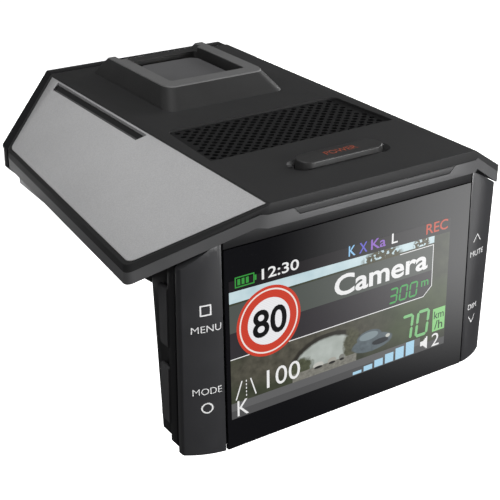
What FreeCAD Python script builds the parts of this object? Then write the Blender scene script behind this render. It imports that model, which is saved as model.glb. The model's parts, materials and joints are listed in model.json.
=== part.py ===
import FreeCAD, Part
import math
import os

import Sketcher
from FreeCAD import Placement, Rotation, Vector

# A windscreen-mounted radar detector with a dash camera and a 3-inch display.
# Drawing frame, in millimetres: X to the driver's right, Y away from the driver, Z up.
# Sizes are drawn from the middle of the roof's near edge, and every sub-part's Placement
# moves that datum so that the row's origin is the middle of the bracket seat.

# ---------------------------------------------------------------- driving sizes
SIZES = (
    # head: a flat roof with two sloping sides
    ("roof_half", 29.7), ("roof_half_far", 29.1), ("roof_depth", 111.0), ("roof_wall", 2.4),
    ("tip_half", 56.3), ("tip_near", 17.0), ("tip_drop", 15.0), ("tip_far_half", 52.0),
    ("tip_far", 92.0), ("tip_round", 3.0), ("near_bend", 30.2),
    ("seam_drop", 2.6), ("seam_bend", 31.6), ("seam_tip_drop", 17.0),
    ("band_drop", 5.8), ("band_bend", 32.4), ("band_tip_drop", 20.0),
    ("bezel_thick", 3.8), ("shell_wall", 1.8), ("shell_edge", 2.6), ("eave_wall", 1.2),
    ("edge_lap", 0.6), ("hollow_in", 1.0), ("bezel_side_long", 19.0), ("bezel_side_drop", 18.0), ("bezel_lip", 0.5),
    ("belly_drop", 27.0), ("belly_half", 44.0), ("belly_near", 27.0), ("belly_side", 54.0),
    ("neck_near", 8.8), ("neck_wall", 3.4), ("trim_half_low", 21.8), ("trim_half_high", 23.4),
    ("trim_high", 1.5), ("trim_below_seam", 0.15), ("trim_proud", 0.05), ("trim_deep", 1.9),
    # silver side panels and the vents in them
    ("panel_thick", 1.2), ("panel_edge", 0.9), ("panel_gap", 0.5),
    ("vent_near", 52.8), ("vent_far", 104.0), ("vent_in", 0.9), ("vent_wide", 2.4), ("vent_slant", 1.6),
    ("vent_sunk", 0.7),
    # speaker grille
    ("grille_near", 28.1), ("grille_far", 51.2), ("grille_half", 27.3), ("grille_half_far", 25.9),
    ("grille_thick", 0.9), ("grille_recess", 0.6), ("grille_ledge", 1.2), ("grille_round", 2.2),
    ("hole_pitch", 2.95), ("hole_radius", 0.8), ("hole_margin", 1.7), ("fit_gap", 0.1),
    ("speaker_long", 40.0), ("speaker_wide", 20.0), ("speaker_deep", 7.0),
    # power button
    ("button_y", 14.7), ("button_long", 24.3), ("button_wide", 6.1), ("button_proud", 1.4),
    ("button_gap", 0.3), ("button_travel", 0.6), ("button_flange", 1.1), ("dish_deep", 1.0),
    ("dish_flare", 0.6), ("dish_in", 1.3), ("flange_out", 1.2), ("stem_radius", 1.6), ("stem_long", 1.0),
    ("button_edge", 0.3),
    # collar and bracket seat
    ("collar_near", 63.0), ("collar_far", 106.0), ("collar_half", 18.5), ("collar_high", 4.8),
    ("collar_top_near", 68.8), ("collar_top_far", 102.4), ("collar_top_half", 15.5), ("collar_round", 4.5),
    ("socket_near", 73.3), ("socket_far", 99.8), ("socket_half", 11.8), ("socket_sink", 1.0),
    ("far_wall_high", 3.2),
    ("seat_y", 85.6), ("seat_long", 21.6), ("seat_half", 9.6), ("seat_top", 2.6), ("seat_thick", 1.6),
    ("seat_round", 3.0), ("foot_in", 2.0), ("magnet_radius", 4.0), ("magnet_space", 10.0), ("magnet_sink", 1.6),
    ("pin_radius", 0.45), ("pin_space", 2.2), ("pin_beyond", 1.5), ("pin_long", 2.6),
    # camera and laser receiver
    ("eye_radius", 9.2), ("eye_back", 1.0), ("eye_drop", 14.6), ("eye_gap", 0.3), ("eye_flat", 6.6),
    ("eye_rear", 5.5), ("trunnion_radius", 0.9), ("trunnion_half", 11.3), ("trunnion_gap", 0.05),
    ("lug_in", 10.0), ("lug_half", 2.2), ("lug_deep", 2.6),
    ("lens_radius", 5.0), ("lens_ring", 6.0), ("lens_sink", 3.0), ("lens_seat", 1.6), ("sensor_half", 5.0),
    ("laser_in", 12.2), ("laser_wide", 14.0), ("laser_high", 10.0), ("laser_drop", 13.6), ("laser_corner", 2.0),
    ("laser_sensor_in", 0.6), ("laser_sensor_near", 14.0), ("laser_sensor_far", 2.5), ("laser_sensor_half", 4.8),
    # display unit
    ("unit_half", 47.2), ("unit_front", 9.7), ("unit_split", 15.0), ("unit_bottom", 64.9),
    ("back_half", 46.0), ("back_top_y", 25.9), ("back_low_y", 20.7), ("unit_wall", 1.6),
    ("core_half", 37.1), ("glass_y", 6.88), ("glass_mid_drop", 30.0), ("glass_tilt", 2.26),
    ("glass_half", 36.9), ("glass_up", 17.5), ("glass_down", 34.1), ("glass_thick", 1.0),
    ("lcd_left", 35.9), ("lcd_right", 33.4), ("lcd_up", 11.6), ("lcd_down", 28.2), ("lcd_thick", 3.0),
    ("key_back", 11.4), ("key_deck", 12.0), ("key_gap", 0.3), ("key_low", 64.2), ("key_bulge", 0.75),
    ("key_upper", 24.0), ("key_lower", 52.0), ("key_ridge", 0.55), ("key_under_eave", 0.7),
    ("switch_stem", 1.2), ("switch_half", 2.0), ("switch_side_gap", 0.2), ("switch_hole", 1.5),
    ("eave_gap", 0.25), ("unit_chamfer", 2.2), ("seat_slack", 0.05),
    # card doors and card sockets
    ("door_high", 15.2), ("door_wide", 3.6), ("door_thick", 1.3), ("door_y", 16.9),
    ("door_upper_top", 22.2), ("door_lower_top", 42.9), ("knuckle_radius", 0.65), ("door_gap", 0.1),
    ("card_wide", 12.2), ("card_slot", 1.8), ("card_deep", 14.5), ("socket_wall", 0.8), ("socket_thick", 2.4),
    ("inlet_drop", 32.0), ("inlet_long", 8.0), ("inlet_high", 3.2), ("inlet_deep", 5.6), ("inlet_wall", 0.4),
    # inside the head and the display unit
    ("board_thick", 1.4), ("board_drop", 12.0), ("board_half", 33.0), ("board_far", 68.5),
    ("screw_x", 37.0), ("screw_near", 60.0), ("screw_far", 92.0), ("screw_radius", 1.3), ("screw_gap", 0.05),
    ("screw_long", 12.5), ("screw_top", 9.0), ("sink_deep", 4.0), ("boss_radius", 3.0), ("boss_split", 15.0),
    ("head_radius", 2.5), ("head_gap", 0.2), ("head_high", 1.8),
    ("unit_screw_x", 41.0), ("unit_screw_low", 60.5), ("unit_screw_high", 40.1), ("unit_screw_radius", 1.05),
    ("unit_head_radius", 1.9), ("unit_head_high", 1.3), ("unit_head_y", 18.4), ("unit_boss_radius", 2.6),
    ("horn_clear", 4.0), ("horn_in", 10.5), ("horn_long", 31.0), ("horn_far", 7.0), ("horn_low", 22.5),
    ("horn_top", 9.2), ("radar_board_long", 27.0), ("radar_board_thick", 1.2), ("battery_half", 16.0),
    ("battery_near", 34.0), ("battery_long", 24.0), ("battery_thick", 5.4), ("panel_board_thick", 1.2),
    ("panel_board_gap", 0.6), ("chip_thick", 1.6), ("ribbon_half", 11.0), ("ribbon_thick", 0.35),
)

VALUES = dict(SIZES)
doc = FreeCAD.newDocument("detector")
sheet = doc.addObject("Spreadsheet::Sheet", "Sizes")
for row, (alias, number) in enumerate(SIZES, start=1):
    sheet.set("A%d" % row, alias)
    sheet.set("B%d" % row, str(number))
    sheet.setAlias("B%d" % row, alias)
doc.recompute()


# ---------------------------------------------------------------- sizes as expressions
class Size:
    """A length that knows its number now and its expression on the sheet."""

    def __init__(self, value, text):
        self.value = value
        self.text = text

    def _join(self, other, sign, value):
        return Size(value, "(%s %s %s)" % (self.text, sign, size(other).text))

    def __add__(self, other):
        return self._join(other, "+", self.value + size(other).value)

    def __sub__(self, other):
        return self._join(other, "-", self.value - size(other).value)

    def __mul__(self, other):
        return self._join(other, "*", self.value * size(other).value)

    def __truediv__(self, other):
        return self._join(other, "/", self.value / size(other).value)

    def __radd__(self, other):
        return size(other) + self

    def __rsub__(self, other):
        return size(other) - self

    def __rmul__(self, other):
        return size(other) * self

    def __neg__(self):
        return size(0.0) - self


def size(item):
    """The sheet's value for a name, or a plain number, as a Size."""
    if isinstance(item, Size):
        return item
    if isinstance(item, str):
        return Size(float(VALUES[item]), "Sizes.%s" % item)
    return Size(float(item), "(%.6f)" % item)


def bind(obj, path, value):
    """Tie one property of an object to an expression of the sheet."""
    obj.setExpression(path, size(value).text)


def put(obj, x=0, y=0, z=0):
    """Place an object in the row's frame, from its place in the drawing frame."""
    bind(obj, "Placement.Base.x", size(x))
    bind(obj, "Placement.Base.y", size(y) - size("seat_y"))
    bind(obj, "Placement.Base.z", size(z) - size("seat_top"))


# ---------------------------------------------------------------- building blocks
PLANES = {
    "top": (Rotation(), Vector(0, 0, 1)),
    "front": (Rotation(Vector(1, 0, 0), 90), Vector(0, 1, 0)),
    "side": (Rotation(Vector(1, 1, 1), 120), Vector(1, 0, 0)),
}
NODES = []


def node(obj, label):
    """Keep an object as a sub-part under its label."""
    obj.Label = label
    NODES.append(obj)
    return obj


def outline(sketch, points):
    """Draw a closed outline whose corners are tied to the sheet."""
    ends = [(size(a), size(b)) for a, b in points]
    count = len(ends)
    for i in range(count):
        a = Vector(ends[i][0].value, ends[i][1].value, 0)
        b = Vector(ends[(i + 1) % count][0].value, ends[(i + 1) % count][1].value, 0)
        sketch.addGeometry(Part.LineSegment(a, b))
    for i in range(count):
        sketch.addConstraint(Sketcher.Constraint("Coincident", i, 2, (i + 1) % count, 1))
    for i in range(count):
        for kind, value in (("DistanceX", ends[i][0]), ("DistanceY", ends[i][1])):
            index = sketch.addConstraint(Sketcher.Constraint(kind, -1, 1, i, 1, value.value))
            sketch.setExpression("Constraints[%d]" % index, value.text)


def prism(name, plane, points, start, length):
    """Extrude an outline drawn on a plane, from start, over a length."""
    sketch = doc.addObject("Sketcher::SketchObject", name + "_outline")
    turn, along = PLANES[plane]
    sketch.Placement = Placement(Vector(), turn)
    offset = {"top": (0, 0, start), "front": (0, start, 0), "side": (start, 0, 0)}[plane]
    put(sketch, *offset)
    outline(sketch, points)
    solid = doc.addObject("Part::Extrusion", name)
    solid.Base = sketch
    solid.DirMode = "Custom"
    solid.Dir = along
    solid.Solid = True
    bind(solid, "LengthFwd", length)
    return solid


def box(name, x, y, z):
    """A block from three (low, high) pairs."""
    solid = doc.addObject("Part::Box", name)
    for path, pair in (("Length", x), ("Width", y), ("Height", z)):
        bind(solid, path, size(pair[1]) - size(pair[0]))
    put(solid, x[0], y[0], z[0])
    return solid


def rod(name, radius, start, length, axis="up"):
    """A cylinder from its start point, along up, away or right."""
    solid = doc.addObject("Part::Cylinder", name)
    turn = {"up": Rotation(), "away": Rotation(Vector(1, 0, 0), -90), "right": Rotation(Vector(0, 1, 0), 90)}
    solid.Placement = Placement(Vector(), turn[axis])
    bind(solid, "Radius", radius)
    bind(solid, "Height", length)
    put(solid, *start)
    return solid


def join(name, parts):
    solid = doc.addObject("Part::MultiFuse", name)
    solid.Shapes = list(parts)
    return solid


def overlap(name, first, second):
    solid = doc.addObject("Part::MultiCommon", name)
    solid.Shapes = [first, second]
    return solid


def cut(name, base, tools):
    """Take several tools away from a base."""
    tools = list(tools)
    tool = tools[0] if len(tools) == 1 else join(name + "_tools", tools)
    solid = doc.addObject("Part::Cut", name)
    solid.Base = base
    solid.Tool = tool
    return solid


def group(name, parts):
    """Separate solids of one kind kept as one sub-part."""
    solid = doc.addObject("Part::Compound", name)
    solid.Links = list(parts)
    return solid


def rounded(name, base, radius, wanted):
    """Round the edges of a shape that a test picks."""
    doc.recompute()
    picked = [i for i, edge in enumerate(base.Shape.Edges, start=1) if wanted(edge)]
    solid = doc.addObject("Part::Fillet", name)
    solid.Base = base
    solid.Edges = [(i, size(radius).value, size(radius).value) for i in picked]
    return solid


def runs_along(edge, axis):
    """True for a straight edge along one axis, 0.3 mm or longer."""
    ends = [v.Point for v in edge.Vertexes]
    if len(ends) != 2:
        return False
    run = ends[1] - ends[0]
    return run.Length > 0.3 and abs(run[axis]) > 0.999 * run.Length


def is_upright(edge):
    return runs_along(edge, 2)


def points_away(edge):
    return runs_along(edge, 1)


def mid(edge):
    """Middle of an edge in the drawing frame."""
    return edge.CenterOfMass + Vector(0, VALUES["seat_y"], VALUES["seat_top"])


# ---------------------------------------------------------------- head outlines
def roof_line(half, drop=0):
    """Height of the sloping roof at a half width, lowered by a drop."""
    slope = size("tip_drop") / (size("tip_half") - "roof_half")
    return -(size(half) - "roof_half") * slope - drop


def seam_line(half):
    slope = (size("seam_tip_drop") - "seam_drop") / (size("tip_half") - "seam_bend")
    return -(size(half) - "seam_bend") * slope - "seam_drop"


def band_line(half):
    slope = (size("band_tip_drop") - "band_drop") / (size("tip_half") - "band_bend")
    return -(size(half) - "band_bend") * slope - "band_drop"


def mirrored(points):
    """A right-hand half outline and its mirror image, as one closed outline."""
    left = [(-size(a), b) for a, b in reversed(points)]
    return list(points) + left


def plan(name, inset, low, high, far="roof"):
    """The head seen from above, as a tall prism, drawn in by an inset."""
    extra = size(0) if far == "roof" else size("bezel_thick")
    points = [
        (size("near_bend") - inset * 0.3, inset),
        (size("tip_half") - inset, size("tip_near") + inset * 0.4),
        (size("tip_far_half") - inset, size("tip_far") + extra - inset * 0.4),
        (size("roof_half_far") - inset * 0.4, size("roof_depth") + extra - inset),
    ]
    solid = prism(name, "top", mirrored(points), low, size(high) - low)
    return rounded(name + "_round", solid, "tip_round",
                   lambda e: is_upright(e) and abs(mid(e).x) > VALUES["tip_far_half"] - 4)


def layer(name, upper, lower, start, length):
    """A sheet between two roof-like lines, run along the head."""
    points = [(-size(a), b) for a, b in reversed(upper)] + list(upper)
    points += list(reversed(lower)) + [(-size(a), b) for a, b in lower]
    return prism(name, "front", points, start, length)


# cutting shapes run past the head by these lengths
WIDE = size("tip_half") + 4.0
DEEP = size("roof_depth") + 20.0
TALL = size("belly_drop") + 13.0


def roof_points(drop, half=WIDE):
    return [(size("roof_half"), size(0) - drop), (size(half), roof_line(half, drop))]


def seam_points(half=WIDE, gap=0.0):
    return [(size("seam_bend"), -size("seam_drop") - gap), (size(half), seam_line(half) - gap)]


def band_points(half=WIDE, gap=0.0):
    return [(size("band_bend"), -size("band_drop") - gap), (size(half), band_line(half) - gap)]


# ---------------------------------------------------------------- upper shell
def screw_places():
    """Where the four case screws stand, as (x, y)."""
    return [(size("screw_x") * side, size(y)) for side in (-1, 1) for y in ("screw_near", "screw_far")]


def grille_outline(grow):
    return mirrored([
        (size("grille_half") + grow, size("grille_near") - grow),
        (size("grille_half_far") + grow, size("grille_far") + grow),
    ])


def is_far_grille_corner(edge):
    return is_upright(edge) and mid(edge).y > VALUES["grille_far"] - 2


def pill(name, long, wide, low, high):
    """A slot-shaped block standing at the button's place."""
    half = (size(long) - wide) / 2
    radius = size(wide) / 2
    middle = box(name + "_mid", (-half, half), (size("button_y") - radius, size("button_y") + radius), (low, high))
    ends = [rod(name + "_end%d" % i, radius, (half * side, "button_y", low), size(high) - low)
            for i, side in enumerate((-1, 1))]
    return join(name, [middle] + ends)


def button_dish(word, side):
    """The small dished end beside the power button."""
    dish = doc.addObject("Part::Cone", "button_dish_" + word)
    bind(dish, "Radius1", size("button_wide") / 2 - "dish_flare")
    bind(dish, "Radius2", size("button_wide") / 2 + "dish_flare")
    bind(dish, "Height", "dish_deep")
    put(dish, (size("button_long") / 2 - "dish_in") * side, "button_y", -size("dish_deep"))
    return dish


def upper_shell():
    edge = size("roof_half") + "panel_gap"
    skin = [
        (size("roof_half"), 0), (edge, roof_line(edge)), (edge, roof_line(edge, "panel_thick")),
        (WIDE, roof_line(WIDE, "panel_thick")),
    ]
    hollow = [(size("roof_half") - "hollow_in", -size("roof_wall")),
              (WIDE, roof_line(WIDE, size("panel_thick") + "shell_wall"))]
    edge_ring = cut("upper_edge_ring", plan("upper_plan", size(0), -TALL, 5),
                    [plan("upper_edge_inner", size("shell_edge") + "edge_lap", -TALL - 1, 6)])
    rim_ring = cut("upper_rim_ring", plan("upper_rim_plan", size(0), -TALL, 5),
                   [plan("upper_rim_inner", size("panel_edge"), -TALL - 1, 6)])
    solid = join("upper_blank", [
        overlap("upper_skin_cut", layer("upper_skin", skin, hollow, -5, DEEP),
                plan("upper_skin_plan", size("shell_edge") + "fit_gap", -TALL, 5)),
        overlap("upper_edge_cut", layer("upper_edge", skin, seam_points(), -5, DEEP), edge_ring),
        overlap("upper_rim_cut", layer("upper_rim", roof_points(0), seam_points(), -5, DEEP), rim_ring)])
    low = [(size("roof_half") - "hollow_in", -TALL), (WIDE, -TALL)]
    bosses = [rod("upper_boss%d" % i, "boss_radius", (x, y, -size("boss_split")), size("boss_split") - 3.0)
              for i, (x, y) in enumerate(screw_places())]
    roof_cut = overlap("upper_boss_trim", join("upper_bosses", bosses),
                       layer("upper_boss_layer", roof_points(2.0), low, -5, DEEP))
    holes = [rod("upper_screw%d" % i, size("screw_radius") + "screw_gap", (x, y, -TALL), TALL - "screw_top")
             for i, (x, y) in enumerate(screw_places())]
    magnet_y = [size("seat_y") + size("magnet_space") / 2 * side for side in (-1, 1)]
    seat = prism("grille_seat", "top", grille_outline(size("fit_gap")), -(size("grille_recess") + "grille_thick"), 5)
    tools = [
        rounded("grille_seat_round", seat, size("grille_round") + "fit_gap", is_far_grille_corner),
        prism("grille_window", "top", grille_outline(-size("grille_ledge")), -8, 9),
        pill("button_hole", size("button_long") + size("button_gap") * 2,
             size("button_wide") + size("button_gap") * 2, -8, 5),
        button_dish("left", -1),
        button_dish("right", 1),
        box("seat_sink", (-size("socket_half"), "socket_half"), ("socket_near", "socket_far"),
            (-size("socket_sink"), 3)),
    ]
    tools += [rod("magnet_hole%d" % i, size("magnet_radius") + "fit_gap", (0, y, -8), 12)
              for i, y in enumerate(magnet_y)]
    shell = cut("upper_opened", solid, tools)
    return node(cut("upper_shell_cut", join("upper_bossed", [shell, roof_cut]), holes), "upper_shell")


def side_panel(side, word):
    """One satin side panel with its long vent slot."""
    start = size("roof_half") + "panel_gap"
    top = [(start * side, roof_line(start)), (size(WIDE) * side, roof_line(WIDE))]
    low = [(size(WIDE) * side, roof_line(WIDE, "panel_thick")), (start * side, roof_line(start, "panel_thick"))]
    sheet_part = prism("panel_sheet_" + word, "front", top + low, -5, DEEP)
    edge = plan("panel_plan_" + word, size("panel_edge") + "fit_gap", -TALL, 5)
    blank = overlap("panel_blank_" + word, sheet_part, edge)
    inner = size("roof_half") + "vent_in"
    outer = inner + "vent_wide"
    corners = [(inner, size("vent_near")), (outer, size("vent_near") + "vent_slant"),
               (outer, size("vent_far") - "vent_slant"), (inner, "vent_far")]
    slot = prism("vent_slot_" + word, "top", [(size(a) * side, b) for a, b in corners], -TALL, TALL + 5)
    panel = node(cut("panel_cut_" + word, blank, [slot]), "side_panel_" + word)
    grow = size(0) - "fit_gap"
    inside = [(inner - grow, size("vent_near") - grow), (outer + grow, size("vent_near") + "vent_slant" - grow),
              (outer + grow, size("vent_far") - "vent_slant" + grow), (inner - grow, size("vent_far") + grow)]
    block = prism("vent_block_" + word, "top", [(size(a) * side, b) for a, b in inside], -TALL, TALL + 5)
    strip_top = [(start * side, roof_line(start, "vent_sunk")), (size(WIDE) * side, roof_line(WIDE, "vent_sunk"))]
    strip = prism("vent_strip_" + word, "front", strip_top + low, 0, DEEP)
    node(overlap("vent_insert_" + word, strip, block), "side_vent_" + word)
    return panel


def speaker_grille():
    """The perforated panel: staggered rows of round holes in a thin plate."""
    plate = prism("grille_blank", "top", grille_outline(0), -(size("grille_recess") + "grille_thick"), "grille_thick")
    plate = rounded("grille_round_far", plate, "grille_round", is_far_grille_corner)
    doc.recompute()
    pitch = VALUES["hole_pitch"]
    low = plate.Shape.BoundBox
    radius = VALUES["hole_radius"]
    deep = VALUES["grille_thick"]
    edge = 1.4 * radius
    rows = int((VALUES["grille_far"] - VALUES["grille_near"] - edge - radius) / (pitch / 2))
    taper = VALUES["grille_half_far"] - VALUES["grille_half"]
    holes = []
    for r in range(rows + 1):
        y = low.YMin + edge + r * pitch / 2
        share = (y - low.YMin) / low.YLength
        half = VALUES["grille_half"] + taper * share - VALUES["hole_margin"]
        shift = 0.5 * (r % 2)
        count = int(half / pitch)
        for c in range(-count - 1, count + 1):
            x = (c + shift) * pitch
            if abs(x) <= half:
                holes.append(Part.makeCylinder(radius, deep + 2, Vector(x, y, low.ZMin - 1)))
    panel = doc.addObject("Part::Feature", "grille_panel")
    panel.Shape = plate.Shape.cut(Part.makeCompound(holes))
    return node(panel, "speaker_grille")


def power_button():
    cap = pill("button_cap", "button_long", "button_wide", -(size("roof_wall") + "fit_gap"), "button_proud")
    flange_high = size("roof_wall") + "fit_gap"
    out = size("flange_out") * 2
    flange = pill("button_flange_block", size("button_long") + out, size("button_wide") + out,
                  -(flange_high + "button_flange"), -flange_high)
    stem = rod("button_stem", "stem_radius", (0, "button_y", -(flange_high + "button_flange") - "stem_long"),
               size("stem_long") + 0.2)
    blank = join("button_blank", [cap, flange, stem])
    return node(rounded("button_round", blank, "button_edge", lambda e: mid(e).z > VALUES["button_proud"] - 0.01),
                "power_button")


# ---------------------------------------------------------------- collar and bracket seat
def mount_collar():
    """The raised collar: a low pyramid with a socket for the bracket."""
    wedge = doc.addObject("Part::Wedge", "collar_wedge")
    wedge.Placement = Placement(Vector(), Rotation(Vector(1, 0, 0), 90))
    # the wedge's own Y is its height and its own Z runs towards the driver
    for path, value in (
            ("Xmin", -size("collar_half")), ("Xmax", "collar_half"), ("Ymin", 0), ("Ymax", "collar_high"),
            ("Zmin", -size("collar_far")), ("Zmax", -size("collar_near")),
            ("X2min", -size("collar_top_half")), ("X2max", "collar_top_half"),
            ("Z2min", -size("collar_top_far")), ("Z2max", -size("collar_top_near"))):
        bind(wedge, path, value)
    put(wedge)

    def near_corner(edge):
        ends = [v.Point for v in edge.Vertexes]
        slanted = abs(ends[1].z - ends[0].z) > VALUES["collar_high"] * 0.9
        return slanted and mid(edge).y < VALUES["seat_y"]

    body = rounded("collar_round_near", wedge, "collar_round", near_corner)
    socket = box("collar_socket", (-size("socket_half"), "socket_half"), ("socket_near", "socket_far"), (-1, 9))
    socket = rounded("collar_socket_round", socket, 1.0, is_upright)
    dip = prism("collar_far_dip", "front", mirrored([
        (size("socket_half") + 0.4, "far_wall_high"), (size("collar_top_half") - 1.6, size("collar_high") + 1)]),
        size("socket_far") - 1.0, 12)
    return node(cut("collar_cut", body, [socket, dip]), "mount_collar")


def bracket_seat():
    half = size("seat_half")
    near = size("seat_y") - size("seat_long") / 2
    far = size("seat_y") + size("seat_long") / 2
    under = size("seat_top") - "seat_thick"
    plate = box("seat_plate", (-half, half), (near, far), (under, "seat_top"))
    plate = rounded("seat_plate_round", plate, "seat_round", is_upright)
    foot = box("seat_foot", (-half + "foot_in", half - "foot_in"), (near + "foot_in", far - "foot_in"),
               (-size("socket_sink"), under))
    places = [size("seat_y") + size("magnet_space") / 2 * side for side in (-1, 1)]
    pockets = [rod("seat_pocket%d" % i, size("magnet_radius") + "fit_gap", (0, y, -3), under + 3)
               for i, y in enumerate(places)]
    node(cut("seat_cut", join("seat_blank", [plate, foot]), pockets), "bracket_seat")
    discs = [rod("magnet%d" % i, "magnet_radius", (0, y, -size("magnet_sink")), under + "magnet_sink")
             for i, y in enumerate(places)]
    node(group("magnets", discs), "seat_magnets")
    pins = [rod("contact%d" % i, "pin_radius", (size("pin_space") * (i - 1.5), far + "pin_beyond",
                                                -size("socket_sink")), "pin_long") for i in range(4)]
    node(group("contacts", pins), "contact_pins")


# ---------------------------------------------------------------- front of the head
def eye_y():
    """Y of the camera's tilting axis."""
    return size("roof_depth") - "eye_back"


def bezel_lugs():
    """Two lugs behind the bezel that carry the camera's trunnions."""
    lugs = []
    for side, word in ((-1, "left"), (1, "right")):
        ends = [size("lug_in") * side, (size("trunnion_half") + 0.3) * side]
        lugs.append(box("bezel_lug_" + word, ends[::side], (size("roof_depth") - "lug_deep", size("roof_depth") + 0.5),
                        (-size("eye_drop") - "lug_half", -size("eye_drop") + "lug_half")))
    return lugs


def front_bezel():
    """The glossy band across the far end, open for the camera and the laser window."""
    points = mirrored([
        (size("roof_half_far"), 0), (size("tip_far_half"), roof_line("tip_far_half")),
        (size("tip_far_half"), -size("bezel_side_drop")), (size("belly_half"), size("bezel_lip") - "belly_drop"),
    ])
    start = size("roof_depth") - "bezel_side_long"
    block = prism("bezel_block", "front", points, start, size("bezel_side_long") + "bezel_thick" + 5)
    body = overlap("bezel_body", block, plan("bezel_plan", size(0), -TALL, 5, far="bezel"))
    behind = plan("bezel_behind", size(0), -TALL - 1, 6)
    eye = doc.addObject("Part::Sphere", "bezel_eye")
    bind(eye, "Radius", size("eye_radius") + "eye_gap")
    put(eye, 0, eye_y(), -size("eye_drop"))
    high = size("laser_high") / 2
    window = box("bezel_window", ("laser_in", size("laser_in") + "laser_wide"),
                 (size("roof_depth") - 6, size("roof_depth") + "bezel_thick" + 3),
                 (-size("laser_drop") - high, -size("laser_drop") + high))
    window = rounded("bezel_window_round", window, "laser_corner", points_away)
    reach = size("trunnion_half") + 1
    bore = rod("bezel_bore", size("trunnion_radius") + "trunnion_gap", (-reach, eye_y(), -size("eye_drop")),
               reach * 2, "right")
    opened = cut("bezel_opened", body, [behind, eye, window])
    node(cut("bezel_cut", join("bezel_lugged", [opened] + bezel_lugs()), [bore]), "front_bezel")
    gap = size("fit_gap")
    pane = box("laser_pane", (size("laser_in") + gap, size("laser_in") + "laser_wide" - gap),
               (size("roof_depth") + 0.6, size("roof_depth") + "bezel_thick" - 0.5),
               (-size("laser_drop") - high + gap, -size("laser_drop") + high - gap))
    node(rounded("laser_pane_round", pane, size("laser_corner") - gap, points_away), "laser_window")


def camera():
    """The eyeball camera: a turret with its lens, which tilts about a cross axis."""
    drop = -size("eye_drop")
    ball = doc.addObject("Part::Sphere", "eye_ball")
    bind(ball, "Radius", "eye_radius")
    put(ball, 0, eye_y(), drop)
    front = eye_y() + "eye_flat"
    rear = eye_y() - "eye_rear"
    past = size("eye_radius") + 3
    tools = [
        box("eye_face", (-past, past), (front, eye_y() + past), (drop - past, drop + past)),
        rod("eye_bore", "lens_ring", (0, front - "lens_sink", drop), 6, "away"),
        box("eye_behind", (-past, past), (eye_y() - past, rear), (drop - past, drop + past)),
    ]
    pins = rod("eye_trunnions", "trunnion_radius", (-size("trunnion_half"), eye_y(), drop),
               size("trunnion_half") * 2, "right")
    node(cut("eye_cut", join("eye_blank", [ball, pins]), tools), "camera_turret")
    ring = rod("lens_ring_blank", size("lens_ring") - size("fit_gap") / 2, (0, front - "lens_sink", drop),
               size("lens_sink") + 0.5, "away")
    bore = rod("lens_ring_bore", "lens_radius", (0, front - "lens_seat", drop), 4, "away")
    node(cut("lens_ring_cut", ring, [bore]), "lens_ring")
    dome = doc.addObject("Part::Sphere", "lens_ball")
    bulge = size("lens_radius") * 1.4
    bind(dome, "Radius", bulge)
    put(dome, 0, front + 0.2 - bulge, drop)
    core = rod("lens_core", size("lens_radius") - size("fit_gap") / 2, (0, front - "lens_seat", drop), 3, "away")
    node(overlap("lens_dome", core, dome), "camera_lens")
    half = size("sensor_half")
    node(box("camera_sensor_block", (-half - 1, half + 1), (rear - 4, rear), (drop - half, drop + half)),
         "camera_sensor")


# ---------------------------------------------------------------- lower shell
def belly_points(inset):
    """Right half of the belly in front view, from its side down to its floor."""
    return [
        (size("belly_side") - inset, band_line("belly_side") + 2.0),
        (size("belly_side") - inset, band_line("belly_side")),
        (size("belly_half") - inset * 0.6, -size("belly_drop") + inset),
    ]


def belly_plan(name, inset):
    points = [
        (size("belly_side") - inset, size("belly_near") + inset),
        (size("tip_far_half") - 2.5 - inset, size("tip_far") - 0.5),
        (size("roof_half_far") - 0.5 - inset, "roof_depth"),
    ]
    return prism(name, "top", mirrored(points), -TALL, TALL + 1)


def lower_shell():
    band = overlap("band_cut", layer("band_layer", seam_points(), band_points(), -5, DEEP),
                   plan("band_plan", size(0), -TALL, 5))
    middle = size("roof_half") / 2
    block = prism("belly_block", "front", mirrored([(middle, -size("seam_drop") - 1.4)] + belly_points(size(0))), 10, DEEP)
    belly = overlap("belly_cut", block, belly_plan("belly_plan", size(0)))
    wall = size("shell_wall")
    inside = [(middle, 0.0), (size("belly_side") - wall, 0.0)] + belly_points(wall)[1:]
    hollow = overlap("belly_hollow", prism("belly_hollow_block", "front", mirrored(inside), 10, DEEP),
                     belly_plan("belly_hollow_plan", wall))
    lift = [(size("band_bend"), size("eave_wall") - "band_drop"), (size(WIDE), band_line(WIDE) + "eave_wall")]
    top = [(size("band_bend"), 5), (size(WIDE), 5)]
    eave = overlap("eave_hollow", layer("eave_hollow_layer", top, lift, -5, DEEP),
                   plan("eave_hollow_plan", size("shell_edge"), -TALL, 6))
    floor = -size("belly_drop") + 1.0
    bosses = [rod("lower_boss%d" % i, "boss_radius", (x, y, floor), -floor - "boss_split")
              for i, (x, y) in enumerate(screw_places())]
    bores = []
    for i, (x, y) in enumerate(screw_places()):
        bores.append(rod("lower_screw%d" % i, size("screw_radius") + "screw_gap", (x, y, -TALL), TALL))
        bores.append(rod("lower_sink%d" % i, size("head_radius") + "head_gap", (x, y, -TALL),
                         TALL - "belly_drop" + "sink_deep"))
    half = size("core_half") - 2
    neck = box("neck_hole", (-half, half), ("neck_near", size("belly_near") - "neck_wall"), (-TALL, 0))
    window = box("neck_window", (-half + 5, half - 5), (size("belly_near") - 1, size("belly_near") + 5), (-20, -8))
    trim = prism("trim_pocket", "front", trim_points(size("fit_gap")), -1, "trim_deep")
    shell = cut("lower_hollowed", join("lower_blank", [band, belly]), [hollow, eave])
    return node(cut("lower_cut", join("lower_bossed", [shell] + bosses), bores + [neck, window, trim]), "lower_shell")


def trim_points(grow):
    """The slim trapezoid trim under the seam, in front view."""
    high = -(size("seam_drop") + "trim_below_seam")
    low = high - "trim_high"
    return mirrored([(size("trim_half_low") + grow, low - grow), (size("trim_half_high") + grow, high + grow)])


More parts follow.
